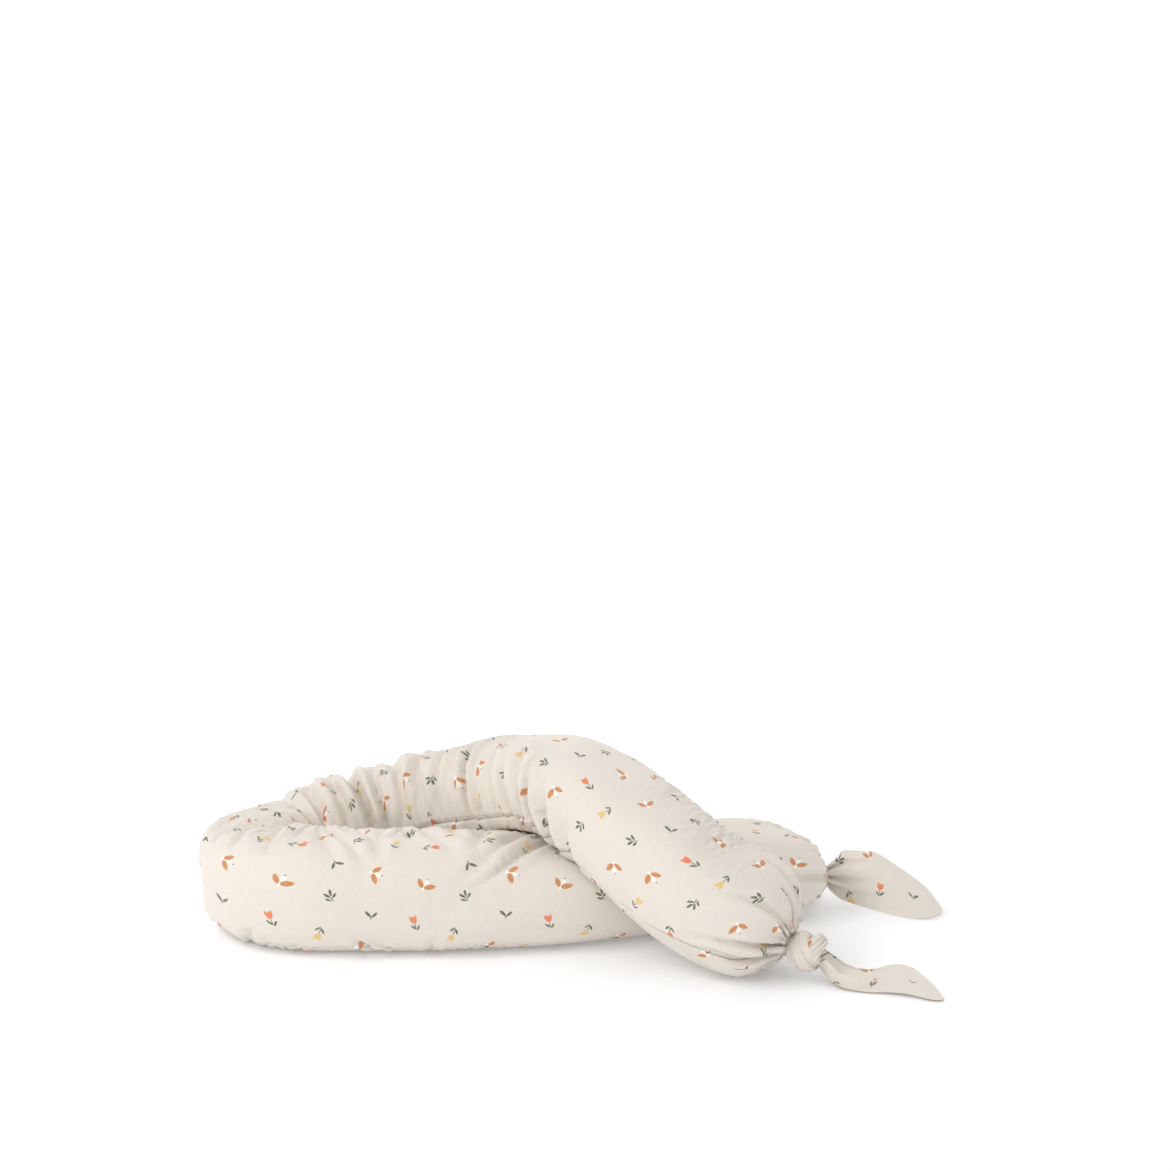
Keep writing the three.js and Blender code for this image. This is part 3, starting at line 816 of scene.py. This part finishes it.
# Each motif is a list of petals: colour, middle x and y (mm), turn (degrees), half length,
# half width, taper and point (2 is an ellipse, less is pointed).
BIRD = [
    (WHITE, 0, 0.5, 90, 7.4, 2.9, 0.25, 1.8),
    (WHITE, 0, 6.0, 0, 2.4, 2.3, 0.0, 2.0),
    (TERRACOTTA, -6.2, 2.0, 142, 7.0, 3.4, -0.15, 1.5),
    (TERRACOTTA, 5.8, 1.2, 42, 6.2, 3.1, -0.15, 1.5),
    (DARK, 0.8, 9.6, 0, 0.8, 0.8, 0.0, 2.0),
]
LEAF_PAIR = [
    (SAGE, -3.6, 2.0, 128, 4.8, 1.7, 0.0, 1.5),
    (SAGE, 4.2, 2.2, 38, 5.2, 1.9, 0.0, 1.5),
    (SAGE, 0.2, -2.6, 80, 2.4, 0.6, 0.0, 1.6),
]
SPRIG = [
    (SAGE, -3.9, -0.6, 140, 3.9, 1.6, 0.0, 1.5),
    (SAGE, -1.0, 4.0, 100, 4.3, 1.6, 0.0, 1.5),
    (SAGE, 3.6, 1.8, 52, 4.3, 1.6, 0.0, 1.5),
    (SAGE, 3.9, -4.0, 38, 3.6, 1.4, 0.0, 1.5),
    (SAGE, 0.0, -4.0, 75, 4.0, 0.6, 0.0, 1.6),
]
STEM = [
    (SAGE, 0.0, -4.6, 92, 5.2, 0.55, 0.0, 1.8),
    (SAGE, -2.9, -7.2, 122, 4.0, 1.3, 0.0, 1.5),
    (SAGE, 2.8, -5.4, 56, 4.2, 1.3, 0.0, 1.5),
]


def tulip(color):
    return STEM + [
        (color, -2.6, 5.6, 99, 5.0, 1.6, 0.0, 1.6),
        (color, 2.6, 5.6, 81, 5.0, 1.6, 0.0, 1.6),
        (color, 0.0, 4.4, 90, 5.2, 2.0, -0.25, 2.0),
    ]


REPEAT = (160.0, 205.0)  # of the print, along and around the tube (mm)

# Where the motifs sit in one repeat: motif, place (mm), turn (degrees).
PRINT = [
    (BIRD, 18, 5, -35),
    (tulip(STRAW), 62, 30, 200),
    (tulip(CORAL), 108, 46, -15),
    (LEAF_PAIR, 0, 56, 8),
    (SPRIG, 48, 82, -20),
    (BIRD, 96, 96, 30),
    (LEAF_PAIR, 44, 124, 150),
    (BIRD, 156, 112, 110),
    (tulip(CORAL), 88, 152, 95),
    (SPRIG, 20, 166, 60),
    (tulip(STRAW), 132, 162, 12),
    (BIRD, 62, 190, -60),
    (SPRIG, 116, 200, 15),
]


def printed_color(shader, place, ground):
    """The print over a ground colour; place is the cloth coordinate in millimetres."""
    petal = petal_group()
    color = ground
    half = (REPEAT[0] / 2, REPEAT[1] / 2, 1)
    for motif, x, y, degrees in PRINT:
        moved = shader.vector("SUBTRACT", place, (x, y, 0))
        wrapped = shader.vector("WRAP", moved, half, tuple(-v for v in half))
        local = shader.turn(wrapped, math.radians(-degrees))
        for paint, px, py, petal_turn, length, width, taper, point in motif:
            values = {
                "Place": local, "Middle": (px, py, 0), "Turn": math.radians(petal_turn),
                "Length": length, "Width": width, "Taper": taper, "Point": point,
            }
            mask = shader.add("ShaderNodeGroup", values, node_tree=petal).outputs[0]
            color = shader.mix(mask, color, paint)
    return color


TOPSTITCH_ROW = 5.0  # from the seam (mm)
TOPSTITCH_PITCH = 3.2


def from_seam(shader, across):
    """Distance to the nearer seam of a cover panel, in mm; across is the cloth coordinate."""
    panel = 500 * GIRTH
    on_panel = shader.math("PINGPONG", across, panel)
    return shader.math("MINIMUM", on_panel, shader.math("SUBTRACT", panel, on_panel))


def topstitch(shader, axes):
    """1 on the thread of the stitch rows beside each seam, which are dashes."""
    from_row = shader.math("SUBTRACT", from_seam(shader, axes[1]), TOPSTITCH_ROW)
    row = shader.multiply_add(shader.math("ABSOLUTE", from_row), -2.0, 1.2, clamp=True)
    wave = shader.math("SINE", shader.math("MULTIPLY", axes[0], 2 * math.pi / TOPSTITCH_PITCH))
    return shader.math("MULTIPLY", row, shader.multiply_add(wave, 3.0, 1.6, clamp=True))


WEAVE_DEPTH = 0.0004  # metres


def woven_bump(shader, place, pitch, strength, creasing):
    """Plain weave with uneven threads, over soft small creases; place is in millimetres."""
    axes = shader.axes(place)
    turns = 2 * math.pi / pitch
    warp = shader.math("SINE", shader.math("MULTIPLY", axes[0], turns))
    weft = shader.math("SINE", shader.math("MULTIPLY", axes[1], turns))
    weave = shader.math("MULTIPLY", warp, weft)
    slubs = shader.threads(place, 2.2, 0.12, 3.0)
    height = shader.multiply_add(weave, 0.12, slubs)
    lines = shader.threads(place, 0.55, 0.05, 2.0)
    threads = shader.multiply_add(lines, 0.8, slubs)
    height = shader.multiply_add(lines, 0.35 * creasing, height)
    soft = shader.noise(place, 0.09, 3.0, 0.55)
    height = shader.multiply_add(soft, creasing, height)
    drawn = shader.streaks(place, 0.20, 0.03, 1.5)
    near = shader.math("POWER", 0.9, from_seam(shader, axes[1]))
    pucker = shader.math("MULTIPLY", drawn, near)
    height = shader.multiply_add(pucker, 3.5 * creasing, height)
    height = shader.multiply_add(topstitch(shader, axes), 1.5 * creasing, height)
    return shader.bump(strength, WEAVE_DEPTH, height), threads


def cloth_material(name, ground, pitch, strength=0.5, creasing=4.0, printed=False):
    """Woven cotton, its threads a pitch apart (mm); its colour wanders a little with the threads
    and from place to place. The printed one also has painted shade in a thin line along each seam,
    and stitches."""
    shader, material = new_material(name)
    uv = shader.add("ShaderNodeUVMap", uv_map="cloth").outputs[0]
    place = shader.vector("MULTIPLY", uv, (1000, 1000, 1000))
    normal, threads = woven_bump(shader, place, pitch, strength, creasing)
    uneven = shader.noise(place, 0.02, 3.0)
    shade = shader.multiply_add(threads, 0.06, 0.87)
    shade = shader.multiply_add(uneven, 0.05, shade)
    plain = shader.scale(ground[:3], shade)
    color = plain
    if printed:
        wobble = shader.add("ShaderNodeTexNoise", {"Vector": place, "Scale": 0.7, "Detail": 2.0})
        jitter = shader.vector("SUBTRACT", wobble.outputs["Color"], (0.5, 0.5, 0.5))
        brushed = shader.vector("MULTIPLY_ADD", jitter, (1.4, 1.4, 0), place)
        streak = shader.streaks(place, 0.3, 1.1, 2.0)
        bare = shader.multiply_add(streak, -6.0, 2.8, clamp=True)
        missed = shader.math("MULTIPLY", bare, 0.6)
        color = shader.mix(missed, printed_color(shader, brushed, plain), plain)
        faded = shader.multiply_add(streak, 0.16, 0.92)
        axes = shader.axes(place)
        # Painted shade: the cloth darkens within about a millimetre of each seam, where the seam's
        # groove would be shaded; the topstitch dashes are darker too
        gap = shader.multiply_add(from_seam(shader, axes[1]), 0.6, 0.45, clamp=True)
        sewn = shader.multiply_add(topstitch(shader, axes), -0.14, gap)
        color = shader.scale(color, shader.math("MULTIPLY", faded, sewn))
    shader.surface({
        "Base Color": color, "Normal": normal, "Roughness": 0.88,
        "Specular IOR Level": 0.25, "Sheen Weight": 0.18, "Sheen Roughness": 0.55,
    })
    return material


def mottled_material(name, dark, light, scale, detail, roughness=0.5, stretch=None):
    """A material whose colour wanders between two, with its shader and the noise behind it."""
    shader, material = new_material(name)
    place = shader.object_place()
    if stretch:
        place = shader.vector("MULTIPLY", place, stretch)
    uneven = shader.noise(place, scale, detail, roughness)
    shader.surface({"Base Color": shader.mix(uneven, dark, light)})
    return material, shader, uneven


def metal_material():
    dark, light = srgb(176, 168, 152), srgb(206, 199, 186)
    brushing = (300, 300, 3000)
    material, shader, grain = mottled_material("zip_metal", dark, light, 1.0, 3.0, stretch=brushing)
    shader.surface({"Roughness": shader.multiply_add(grain, 0.2, 0.25), "Metallic": 1.0})
    return material


def nylon_material():
    dark, light = srgb(219, 209, 193), srgb(236, 228, 214)
    material, shader, _ = mottled_material("coil_nylon", dark, light, 600.0, 2.0)
    shader.surface({"Roughness": 0.42, "Subsurface Weight": 0.1, "Subsurface Scale": 0.002})
    return material


def fibre_material():
    dark, light = srgb(236, 235, 231), srgb(252, 252, 250)
    material, shader, strands = mottled_material("polyester_fibre", dark, light, 240.0, 6.0, 0.7)
    relief = shader.bump(0.8, 0.002, strands)
    shader.surface({"Normal": relief, "Roughness": 1.0, "Sheen Weight": 0.4})
    return material


def floor_material():
    """White paint that glows a little, more in the distance, as a lit backdrop does."""
    dark, light = (0.895, 0.905, 0.92, 1), (0.905, 0.915, 0.93, 1)
    material, shader, _ = mottled_material("floor_paint", dark, light, 3.0, 4.0)
    depth = shader.axes(shader.object_place())[1]
    far = shader.multiply_add(depth, 0.16, 0.02, clamp=True)
    glow = shader.multiply_add(far, 0.46, 0.13)
    shader.surface({
        "Roughness": 0.75, "Emission Color": (0.97, 0.985, 1, 1), "Emission Strength": glow,
    })
    return material


cotton = cloth_material("printed_cotton", CREAM, 0.55, printed=True)
casing_cotton = cloth_material("casing_cotton", srgb(242, 240, 235), 0.5)
tape_cloth = cloth_material("zip_tape", srgb(222, 211, 195), 0.9, strength=0.9, creasing=0.5)
thread = cloth_material("thread", srgb(226, 214, 198), 0.25, strength=0.6, creasing=0.0)
nylon = nylon_material()
metal = metal_material()
fibre = fibre_material()

# ---- the cover's two panels


def inner_layer(depth):
    """The skin of a layer inside the cover: it runs smoothly under the cover's folds."""
    normal = grid_normals(tube)
    pressed = np.maximum(((tube - body) * normal).sum(-1), 0)
    for _ in range(3):
        pressed = np.maximum(pressed, np.maximum(np.roll(pressed, 1, 1), np.roll(pressed, -1, 1)))
        pressed[1:-1] = np.maximum(pressed[1:-1], np.maximum(pressed[2:], pressed[:-2]))
    pressed = smooth_grid(pressed, 3)
    tight = np.clip(from_end / 0.06, 0.25, 1)[:, None]
    return tube - ((depth + pressed * tight)[..., None]) * smooth_grid(normal, 2)


CASING_DEPTH = 2.5 * MM  # under the cover
FILLING_DEPTH = 5 * MM
COARSE = 4  # the inner layers take every fourth row and column of the cloth


def skin_piece(layer_name, half_name, depth, step, material):
    """One panel: half of the tube's skin, from seam to seam, moved inwards by a depth."""
    first = HALF if half_name == "lower" else 0
    rows = np.unique(np.append(np.arange(0, ROWS, step), ROWS - 1))
    columns = np.arange(0, HALF + 1, step)
    layer = inner_layer(depth) if depth else body
    grid = layer[rows][:, (first + columns) % COLUMNS]
    v = columns / HALF * GIRTH / 2 + (GIRTH if first else 0)
    name = f"{layer_name}_{half_name}"
    piece = grid_piece(name, grid, distance[rows][:, None], v)
    dress(piece, material, f"{name}_panel")


for half_name in ("upper", "lower"):
    skin_piece("cover", half_name, 0, 1, cotton)
    skin_piece("casing", half_name, CASING_DEPTH, COARSE, casing_cotton)


def filling():
    """The loose fibre inside the casing, closed at both ends."""
    grid = inner_layer(FILLING_DEPTH)[2 : ROWS - 2 : COARSE, ::COARSE]
    count, around = grid.shape[:2]
    vertices = np.vstack([grid.reshape(-1, 3), grid[0].mean(0), grid[-1].mean(0)])
    faces = ring_faces(count, around)
    last = (count - 1) * around
    for j in range(around):
        k = (j + 1) % around
        faces.append((count * around, k, j))
        faces.append((count * around + 1, last + j, last + k))
    piece = mesh_piece("filling_fibre", vertices, faces)
    dress(piece, fibre, "filling")


filling()

# ---- zip tapes, coils, lips


THREAD_TURNS = np.linspace(0, 2 * math.pi, 7)[:-1]  # the sides of a thread

# All in mm; pairs are down the wall from the zip's line and out from its arc.
TAPE_EDGES = (0.55, 12.75)  # down the wall
TAPE_MIDDLE = 3.4  # out from the arc
TAPE_HALF = 0.38  # half of its thickness
COIL_PITCH = 1.5
COIL_MIDDLE = (1.42, 4.9)
COIL_REACH = (0.98, 0.55)
COIL_LEAN = 0.55  # along the zip
COIL_THREAD = (0.24, 0.30)  # radii across and along the zip
LIP = [(8, 4.95), (10.5, 4.85), (13.5, 4.5), (17, 3.6), (21, 2.2)]
LIP_STITCHES = (8.6, 4.93)
STITCH_SPACING = 3.2
STITCH_LENGTH = 2.3


def zip_strip(name, profile, start, end, uv_shift):
    """A strip swept along the zip; its profile's points are (down, height) in mm."""
    along = np.linspace(start, end, 160)[:, None]
    down, height = (np.asarray(profile, float) * MM).T[:, None]
    return grid_piece(name, zip_place(along, down, height), along + uv_shift, down + height)


def rounded(down, height, radius, from_turn, to_turn):
    """Points of a small arc in a zip profile, in mm."""
    turns = np.radians(np.linspace(from_turn, to_turn, 5))
    return [(down + radius * math.cos(a), height + radius * math.sin(a)) for a in turns]


def mirrored(profile, sign):
    return [(sign * down, height) for down, height in profile]


def zip_tape(label, sign):
    """A woven tape with rounded edges; it shows between the coils and the cover's lips."""
    inner = rounded(TAPE_EDGES[0], TAPE_MIDDLE, TAPE_HALF, 270, 90)
    outer = rounded(TAPE_EDGES[1], TAPE_MIDDLE, TAPE_HALF, 90, -90)
    profile = mirrored(inner + outer + inner[:1], sign)
    piece = zip_strip(f"tape_{label}", profile, 0, zip_length, 0)
    dress(piece, tape_cloth, f"zip_tape_{label}")


def thread_piece(name, count, stations, closed, point):
    """Short threads in a row: point gives the place of one vertex in one thread's ring."""
    vertices, faces = [], []
    for k in range(count):
        faces += ring_faces(len(stations), len(THREAD_TURNS), len(vertices), closed)
        vertices += [point(k, station, tiny) for station in stations for tiny in THREAD_TURNS]
    local = np.array(vertices)
    return mesh_piece(name, zip_place(*local.T), faces, None if closed else local[:, :2])


def coil_row(label, sign):
    """The nylon coil: leaning loops, sewn flat on their tape; the two rows mesh."""
    pitch = COIL_PITCH * MM

    def point(k, angle, tiny):
        start = STOP_LENGTH + 0.9 * MM + (k + 0.5 * (sign > 0)) * pitch
        reach = COIL_THREAD[0] * MM * math.cos(tiny)
        down = COIL_MIDDLE[0] + COIL_REACH[0] * np.cos(angle)
        height = COIL_MIDDLE[1] * MM + COIL_REACH[1] * MM * np.sin(angle)
        return (
            start + COIL_LEAN * MM * np.sin(angle) + COIL_THREAD[1] * MM * math.sin(tiny),
            sign * down * MM + sign * reach * math.cos(angle),
            height + reach * math.sin(angle),
        )

    count = int((zip_length - 2 * STOP_LENGTH - pitch) / pitch)
    turns = np.linspace(0, 2 * math.pi, 15)[:-1]
    piece = thread_piece(f"coil_{label}", count, turns, True, point)
    dress(piece, nylon, f"zip_coil_{label}")


def lip(label, sign):
    """The cover's folded edge beside the coil, sewn down over the tape."""
    fold = rounded(6.0, 4.45, 0.42, 270, 90)
    profile = mirrored(fold + LIP, sign)
    piece = zip_strip(f"lip_{label}", profile, -LIP_BEYOND, zip_length + LIP_BEYOND, 0.4)
    dress(piece, cotton)


def lip_stitches(label, sign):
    """A row of thread stitches along the lip: short rounded dashes that dip at both ends."""
    spacing = STITCH_SPACING * MM

    def point(k, x, tiny):
        arch = 0.28 * (1 - x * x)
        thick = 0.2 * math.sqrt(max(1.05 - x * x, 0.05))
        return (
            k * spacing + 0.5 * STITCH_LENGTH * MM * (1 + x),
            sign * LIP_STITCHES[0] * MM + thick * math.cos(tiny) * MM,
            LIP_STITCHES[1] * MM + (arch - 0.12 + thick * math.sin(tiny)) * MM,
        )

    count = int(zip_length / spacing)
    piece = thread_piece(f"lip_stitches_{label}", count, np.linspace(-1, 1, 6), False, point)
    dress(piece, thread)


for label, sign in (("upper", -1), ("lower", 1)):
    zip_tape(label, sign)
    coil_row(label, sign)
    lip(label, sign)
    lip_stitches(label, sign)

# ---- knots


NECK_RADIUS = 0.0135
LEAVING_WIDTHS = (0.012, 0.0165)  # of the strand from the knot to the tail
BAND_ROWS = 30
BAND_SIDES = 84


def travelled_along(path):
    return np.append(0, np.cumsum(norm(np.diff(path, axis=0), axis=1)))


def smooth_path(points, count):
    points = np.asarray(points, float)
    return spline(points, np.linspace(0, 1, count), 0.5)


def pleated_band(name, path, half_width, half_height, outward, grooves, seed):
    """A strand of gathered cloth swept along a path: flat towards outward, with grooves along it.
    half_width and half_height are one number per path point; outward can be one for all."""
    rng = np.random.default_rng(seed)
    count, sides = len(path), BAND_SIDES
    tangent = unit(np.gradient(path, axis=0))
    normal = unit(outward - (outward * tangent).sum(1)[:, None] * tangent)
    across = np.cross(tangent, normal)
    angle = np.linspace(0, 2 * math.pi, sides, endpoint=False)
    wide = signed_power(np.cos(angle), 0.85)
    high = signed_power(np.sin(angle), 0.85)
    share = np.linspace(0, 1, count)[:, None]
    depth = np.zeros((count, sides))
    # The grooves are spread over the middle 82 per cent of the width.
    for k in range(grooves):
        place = -0.82 + 1.64 * (k + 0.5 + rng.uniform(-0.2, 0.2)) / grooves
        sway = 0.07 * full_wave(rng.uniform(0.5, 1.2) * share + rng.uniform())
        strength = rng.uniform(0.6, 1.0) * (0.7 + 0.3 * full_wave(share + rng.uniform()))
        depth += strength * np.exp(-np.abs(wide[None] - place - sway) / 0.06)
    depth = np.minimum(depth, 1.1)
    w = np.asarray(half_width)[:, None]
    h = np.asarray(half_height)[:, None]
    lift = h * high[None] * (1 - 0.52 * depth)
    reach = w * wide[None] * (1 - 0.06 * depth)
    grid = path[:, None] + reach[..., None] * across[:, None] + lift[..., None] * normal[:, None]
    steps = travelled_along(path)
    v = np.linspace(0, 4 * float(np.mean(w)), sides + 1)
    grid = np.concatenate([grid, grid[:, :1]], 1)
    return grid_piece(name, grid, steps[:, None] + 0.07 * seed, v + 0.03 * seed)


def knot(name, throat, throat_inside, tail_base):
    """An overhand knot: the neck of the cover, a broad wrap across the front, a loop beyond it."""
    low_corner, high_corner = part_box(name)
    middle = np.array((low_corner + high_corner) / 2)
    axis = unit((throat - throat_inside) * [1, 1, 0])
    axes = np.array([axis, np.cross(UP, axis), UP])

    def place(points):
        return middle + np.asarray(points, float) * MM @ axes

    # Turns and tilt in degrees, the rest in mm.
    def wrap(part, tilt, radius, shift, wide, high, from_turn, grooves, seed):
        angle = np.radians(np.linspace(from_turn, from_turn + 360, 90))
        d1 = np.array([-math.sin(math.radians(tilt)), 0, math.cos(math.radians(tilt))])
        d2 = np.array([0, -1.0, 0])
        circle = radius * (np.cos(angle)[:, None] * d1 + np.sin(angle)[:, None] * d2)
        path = place(circle + shift)
        outward = path - place([shift])
        fan = 0.5 - 0.5 * np.cos(np.radians(np.linspace(0, 360, 90)))
        widths = wide * MM * (0.72 + 0.28 * fan)
        heights = high * MM * (0.85 + 0.15 * fan)
        return pleated_band(f"{name}_{part}", path, widths, heights, outward, grooves, seed)

    neck = smooth_path([throat - 10 * MM * axes[0], throat, middle], BAND_ROWS)
    round_neck = np.full(BAND_ROWS, NECK_RADIUS)
    pieces = [
        pleated_band(f"{name}_neck", neck, round_neck, round_neck, UP, grooves=6, seed=1),
        wrap("front_wrap", 30, 16.5, (-5, 0, -6), 18.0, 11.5, -60, grooves=8, seed=2),
        wrap("far_wrap", -42, 16.0, (4, 2, -3), 12.0, 9.5, -70, grooves=6, seed=3),
    ]
    leave = smooth_path([middle, 0.5 * (middle + tail_base), tail_base], BAND_ROWS)
    widths = np.linspace(*LEAVING_WIDTHS, BAND_ROWS)
    pieces.append(pleated_band(f"{name}_leaving", leave, widths, widths * 0.72, UP, 5, 4))
    for piece in pieces:
        dress(piece, cotton)
    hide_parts(name)


# ---- tails

# The edges of each tail, from the knot to the tip, as the CAD has them (mm).
TAIL_A_LOWER = [
    [359, 137, 12], [373, 129, 5], [393, 111, 2], [429, 75, 2], [465, 55, 2], [495, 52, 2],
]
TAIL_A_UPPER = [
    [357, 141, 58], [369, 139, 68], [389, 137, 74], [413, 131, 78], [465, 105, 50], [507, 75, 12],
]
TAIL_B_LOWER = [
    [310, -205, 14], [329, -220, 6], [357, -229, 2], [391, -237, 2], [423, -251, 2], [450, -268, 2],
]
TAIL_B_UPPER = [
    [321, -167, 34], [341, -157, 12], [369, -159, 4],
    [413, -137, 2], [441, -185, 2], [457, -245, 2],
]
TAIL_ROWS = 110
TAIL_COLUMNS = 64
GATHERED = 0.16  # share of the leaf's length


def tail(name, lower_edge, upper_edge, neck, neck_half, shape, lift):
    """A leaf of doubled cloth: gathered at the knot, sewn along its rim, a little full between.
    lift is the side its upper layer faces."""
    low_edge = smooth_path(np.array(lower_edge) * MM, TAIL_ROWS)
    high_edge = smooth_path(np.array(upper_edge) * MM, TAIL_ROWS)
    t = np.linspace(0, 1, TAIL_ROWS)[:, None]
    w = np.linspace(0, 1, TAIL_COLUMNS)[None]
    # The last 12 per cent narrows to a rounded tip.
    towards_tip = np.clip((t - 0.88) / 0.12, 0, 1)
    across = 0.5 + (w - 0.5) * np.sqrt(1 - 0.97 * towards_tip**2)
    middle = low_edge[:, None] * (1 - across[..., None]) + high_edge[:, None] * across[..., None]
    gather = np.clip(1 - t / GATHERED, 0, 1) ** 1.5
    gathered = neck + (w[..., None] - 0.5) * 2 * neck_half
    middle = middle * (1 - gather[..., None]) + gather[..., None] * gathered
    normal = unit(np.cross(np.gradient(middle, axis=0), np.gradient(middle, axis=1)))
    if normal[TAIL_ROWS // 2, TAIL_COLUMNS // 2] @ lift < 0:
        normal = -normal
    steps = travelled_along(middle.mean(1))[:, None]
    middle = middle + shape(steps, w)[..., None] * normal
    rim = np.minimum(np.minimum(w, 1 - w) * 90, (1 - t) * 170)
    full = 1 - np.exp(-rim / 9.0)
    puffed = full * (1.0 + 0.4 * np.sin(7 * w + 9 * t) + 0.3 * np.sin(23 * t + 2 * w))
    swell = (0.3 + 1.6 * puffed * (1 - 0.5 * gather)) * MM
    v = (w - 0.5) * norm(high_edge - low_edge, axis=1)[:, None] + 0.06
    for label, side, clear, shift in (("upper", 1, 0.8 * MM, 0.03), ("lower", -1, 0.2 * MM, 0.12)):
        grid = middle + side * swell[..., None] * normal
        grid[..., 2] = np.maximum(grid[..., 2], clear)
        piece = grid_piece(f"{name}_{label}", grid, steps + shift, v)
        dress(piece, cotton, f"{name}_{label}_layer", rides=False)
        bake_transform(piece)


def gathers(w, count, shift):
    """Narrow ridges and valleys across a tail, as pleats leave its knot."""
    wave = full_wave(count * w + shift) + 0.5 * full_wave(1.7 * count * w + 2 * shift)
    return signed_power(wave, 0.8)


def tail_a_shape(s, w):
    """Pleats at the knot, the upper part folded away along a line, and a lazy wave."""
    pleats = 6.0 * gathers(w + 0.05 * np.sin(40 * s), 3.3, 0.1) * np.exp(-s / 0.042)
    beyond = w - 0.56 - 0.9 * s
    folded = -85.0 * 0.5 * (beyond + np.sqrt(beyond * beyond + 0.0002))
    folded = folded * np.clip(1.15 - s / 0.13, 0, 1) * np.clip(s / 0.03, 0, 1)
    wave = 4.0 * full_wave(s / 0.21 + 0.15) * (w - 0.2)
    return (pleats + folded + wave) * MM


def tail_b_shape(s, w):
    """Pleats at the knot that run out into the leaf, which lies in a low wave."""
    pleats = 6.0 * gathers(w + 0.08 * np.sin(30 * s), 2.6, 0.3) * np.exp(-s / 0.050)
    crest = 8.0 * bell((s - 0.055) / 0.026) * bell((w - 0.45) / 0.22)
    wave = 4.0 * bell((s - 0.125) / 0.03) * (0.4 + w)
    return (pleats + crest + wave) * MM


neck_a = np.array([352, 143, 34]) * MM
neck_b = np.array([310, -189, 30]) * MM
knot("knot_a", section["centre"][0], section["centre"][3], neck_a)
knot("knot_b", section["centre"][-1], section["centre"][-4], neck_b)
tail(
    "tail_a", TAIL_A_LOWER, TAIL_A_UPPER, neck_a, np.array([-1, 3, 13]) * MM, tail_a_shape,
    lift=np.array([0.3, -0.8, 0.5]),
)
tail(
    "tail_b", TAIL_B_LOWER, TAIL_B_UPPER, neck_b, np.array([4, 10, 8]) * MM, tail_b_shape,
    lift=UP,
)

# The zip's slider, pull and stops are the CAD's own and get the metal.
for cad_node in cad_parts.values():
    if not cad_node.hide_render:
        cad_node.data.materials.clear()
        cad_node.data.materials.append(metal)


# ---- floor, light and camera


LIGHT_TARGET = (0, 0, 0.1)
LIGHT_COLOR = (0.995, 0.99, 0.99)
LIGHTS = (("key", (-1.7, -0.9, 2.2), 1.0, 14), ("front", (-1.9, -2.4, 1.9), 1.2, 17))
SKY_COLOR = (0.99, 0.985, 0.975, 1)
SKY_STRENGTH = 0.82


def soft_light(name, place, size, power):
    light = bpy.data.lights.new(name, "AREA")
    light.shape = "RECTANGLE"
    light.size = light.size_y = size
    light.energy = power
    light.color = LIGHT_COLOR
    lamp = add_object(name, light)
    lamp.location = place
    lamp.rotation_euler = (Vector(LIGHT_TARGET) - Vector(place)).to_track_quat("-Z", "Y").to_euler()


def studio():
    """A floor that sweeps up into a backdrop far behind, under a bright even sky."""
    near, bend, radius, high, half = -60, 6, 3, 8, 30
    profile = [(near, 0.0)]
    for a in np.linspace(0, math.pi / 2, 13):
        profile.append((bend + radius * math.sin(a), radius - radius * math.cos(a)))
    profile.append((bend + radius, high))
    vertices = [(x, y, z) for y, z in profile for x in (-half, half)]
    faces = [(2 * k, 2 * k + 1, 2 * k + 3, 2 * k + 2) for k in range(len(profile) - 1)]
    floor = mesh_piece("floor", vertices, faces)
    floor.location.z = -0.3 * MM  # so that the cloth that rests on it shows
    floor.data.materials.append(floor_material())
    world = bpy.data.worlds.new("studio")
    world.use_nodes = True
    sky = world.node_tree.nodes["Background"]
    Shader(world.node_tree).feed(sky, {"Color": SKY_COLOR, "Strength": SKY_STRENGTH})
    bpy.context.scene.world = world
    for name, place, size, power in LIGHTS:
        soft_light(name, place, size, power)


CAMERA_PLACE = (0.017, -2.913, 0.988)
CAMERA_PITCH = 10.1  # degrees below the horizon
LENS = 70
SENSOR = 36


def camera():
    data = bpy.data.cameras.new("camera")
    data.lens = LENS
    data.sensor_width = SENSOR
    eye = add_object("camera", data)
    eye.location = CAMERA_PLACE
    eye.rotation_euler = (math.radians(90 - CAMERA_PITCH), 0, 0)
    bpy.context.scene.camera = eye


studio()
camera()
bpy.context.scene.view_settings.view_transform = "Standard"
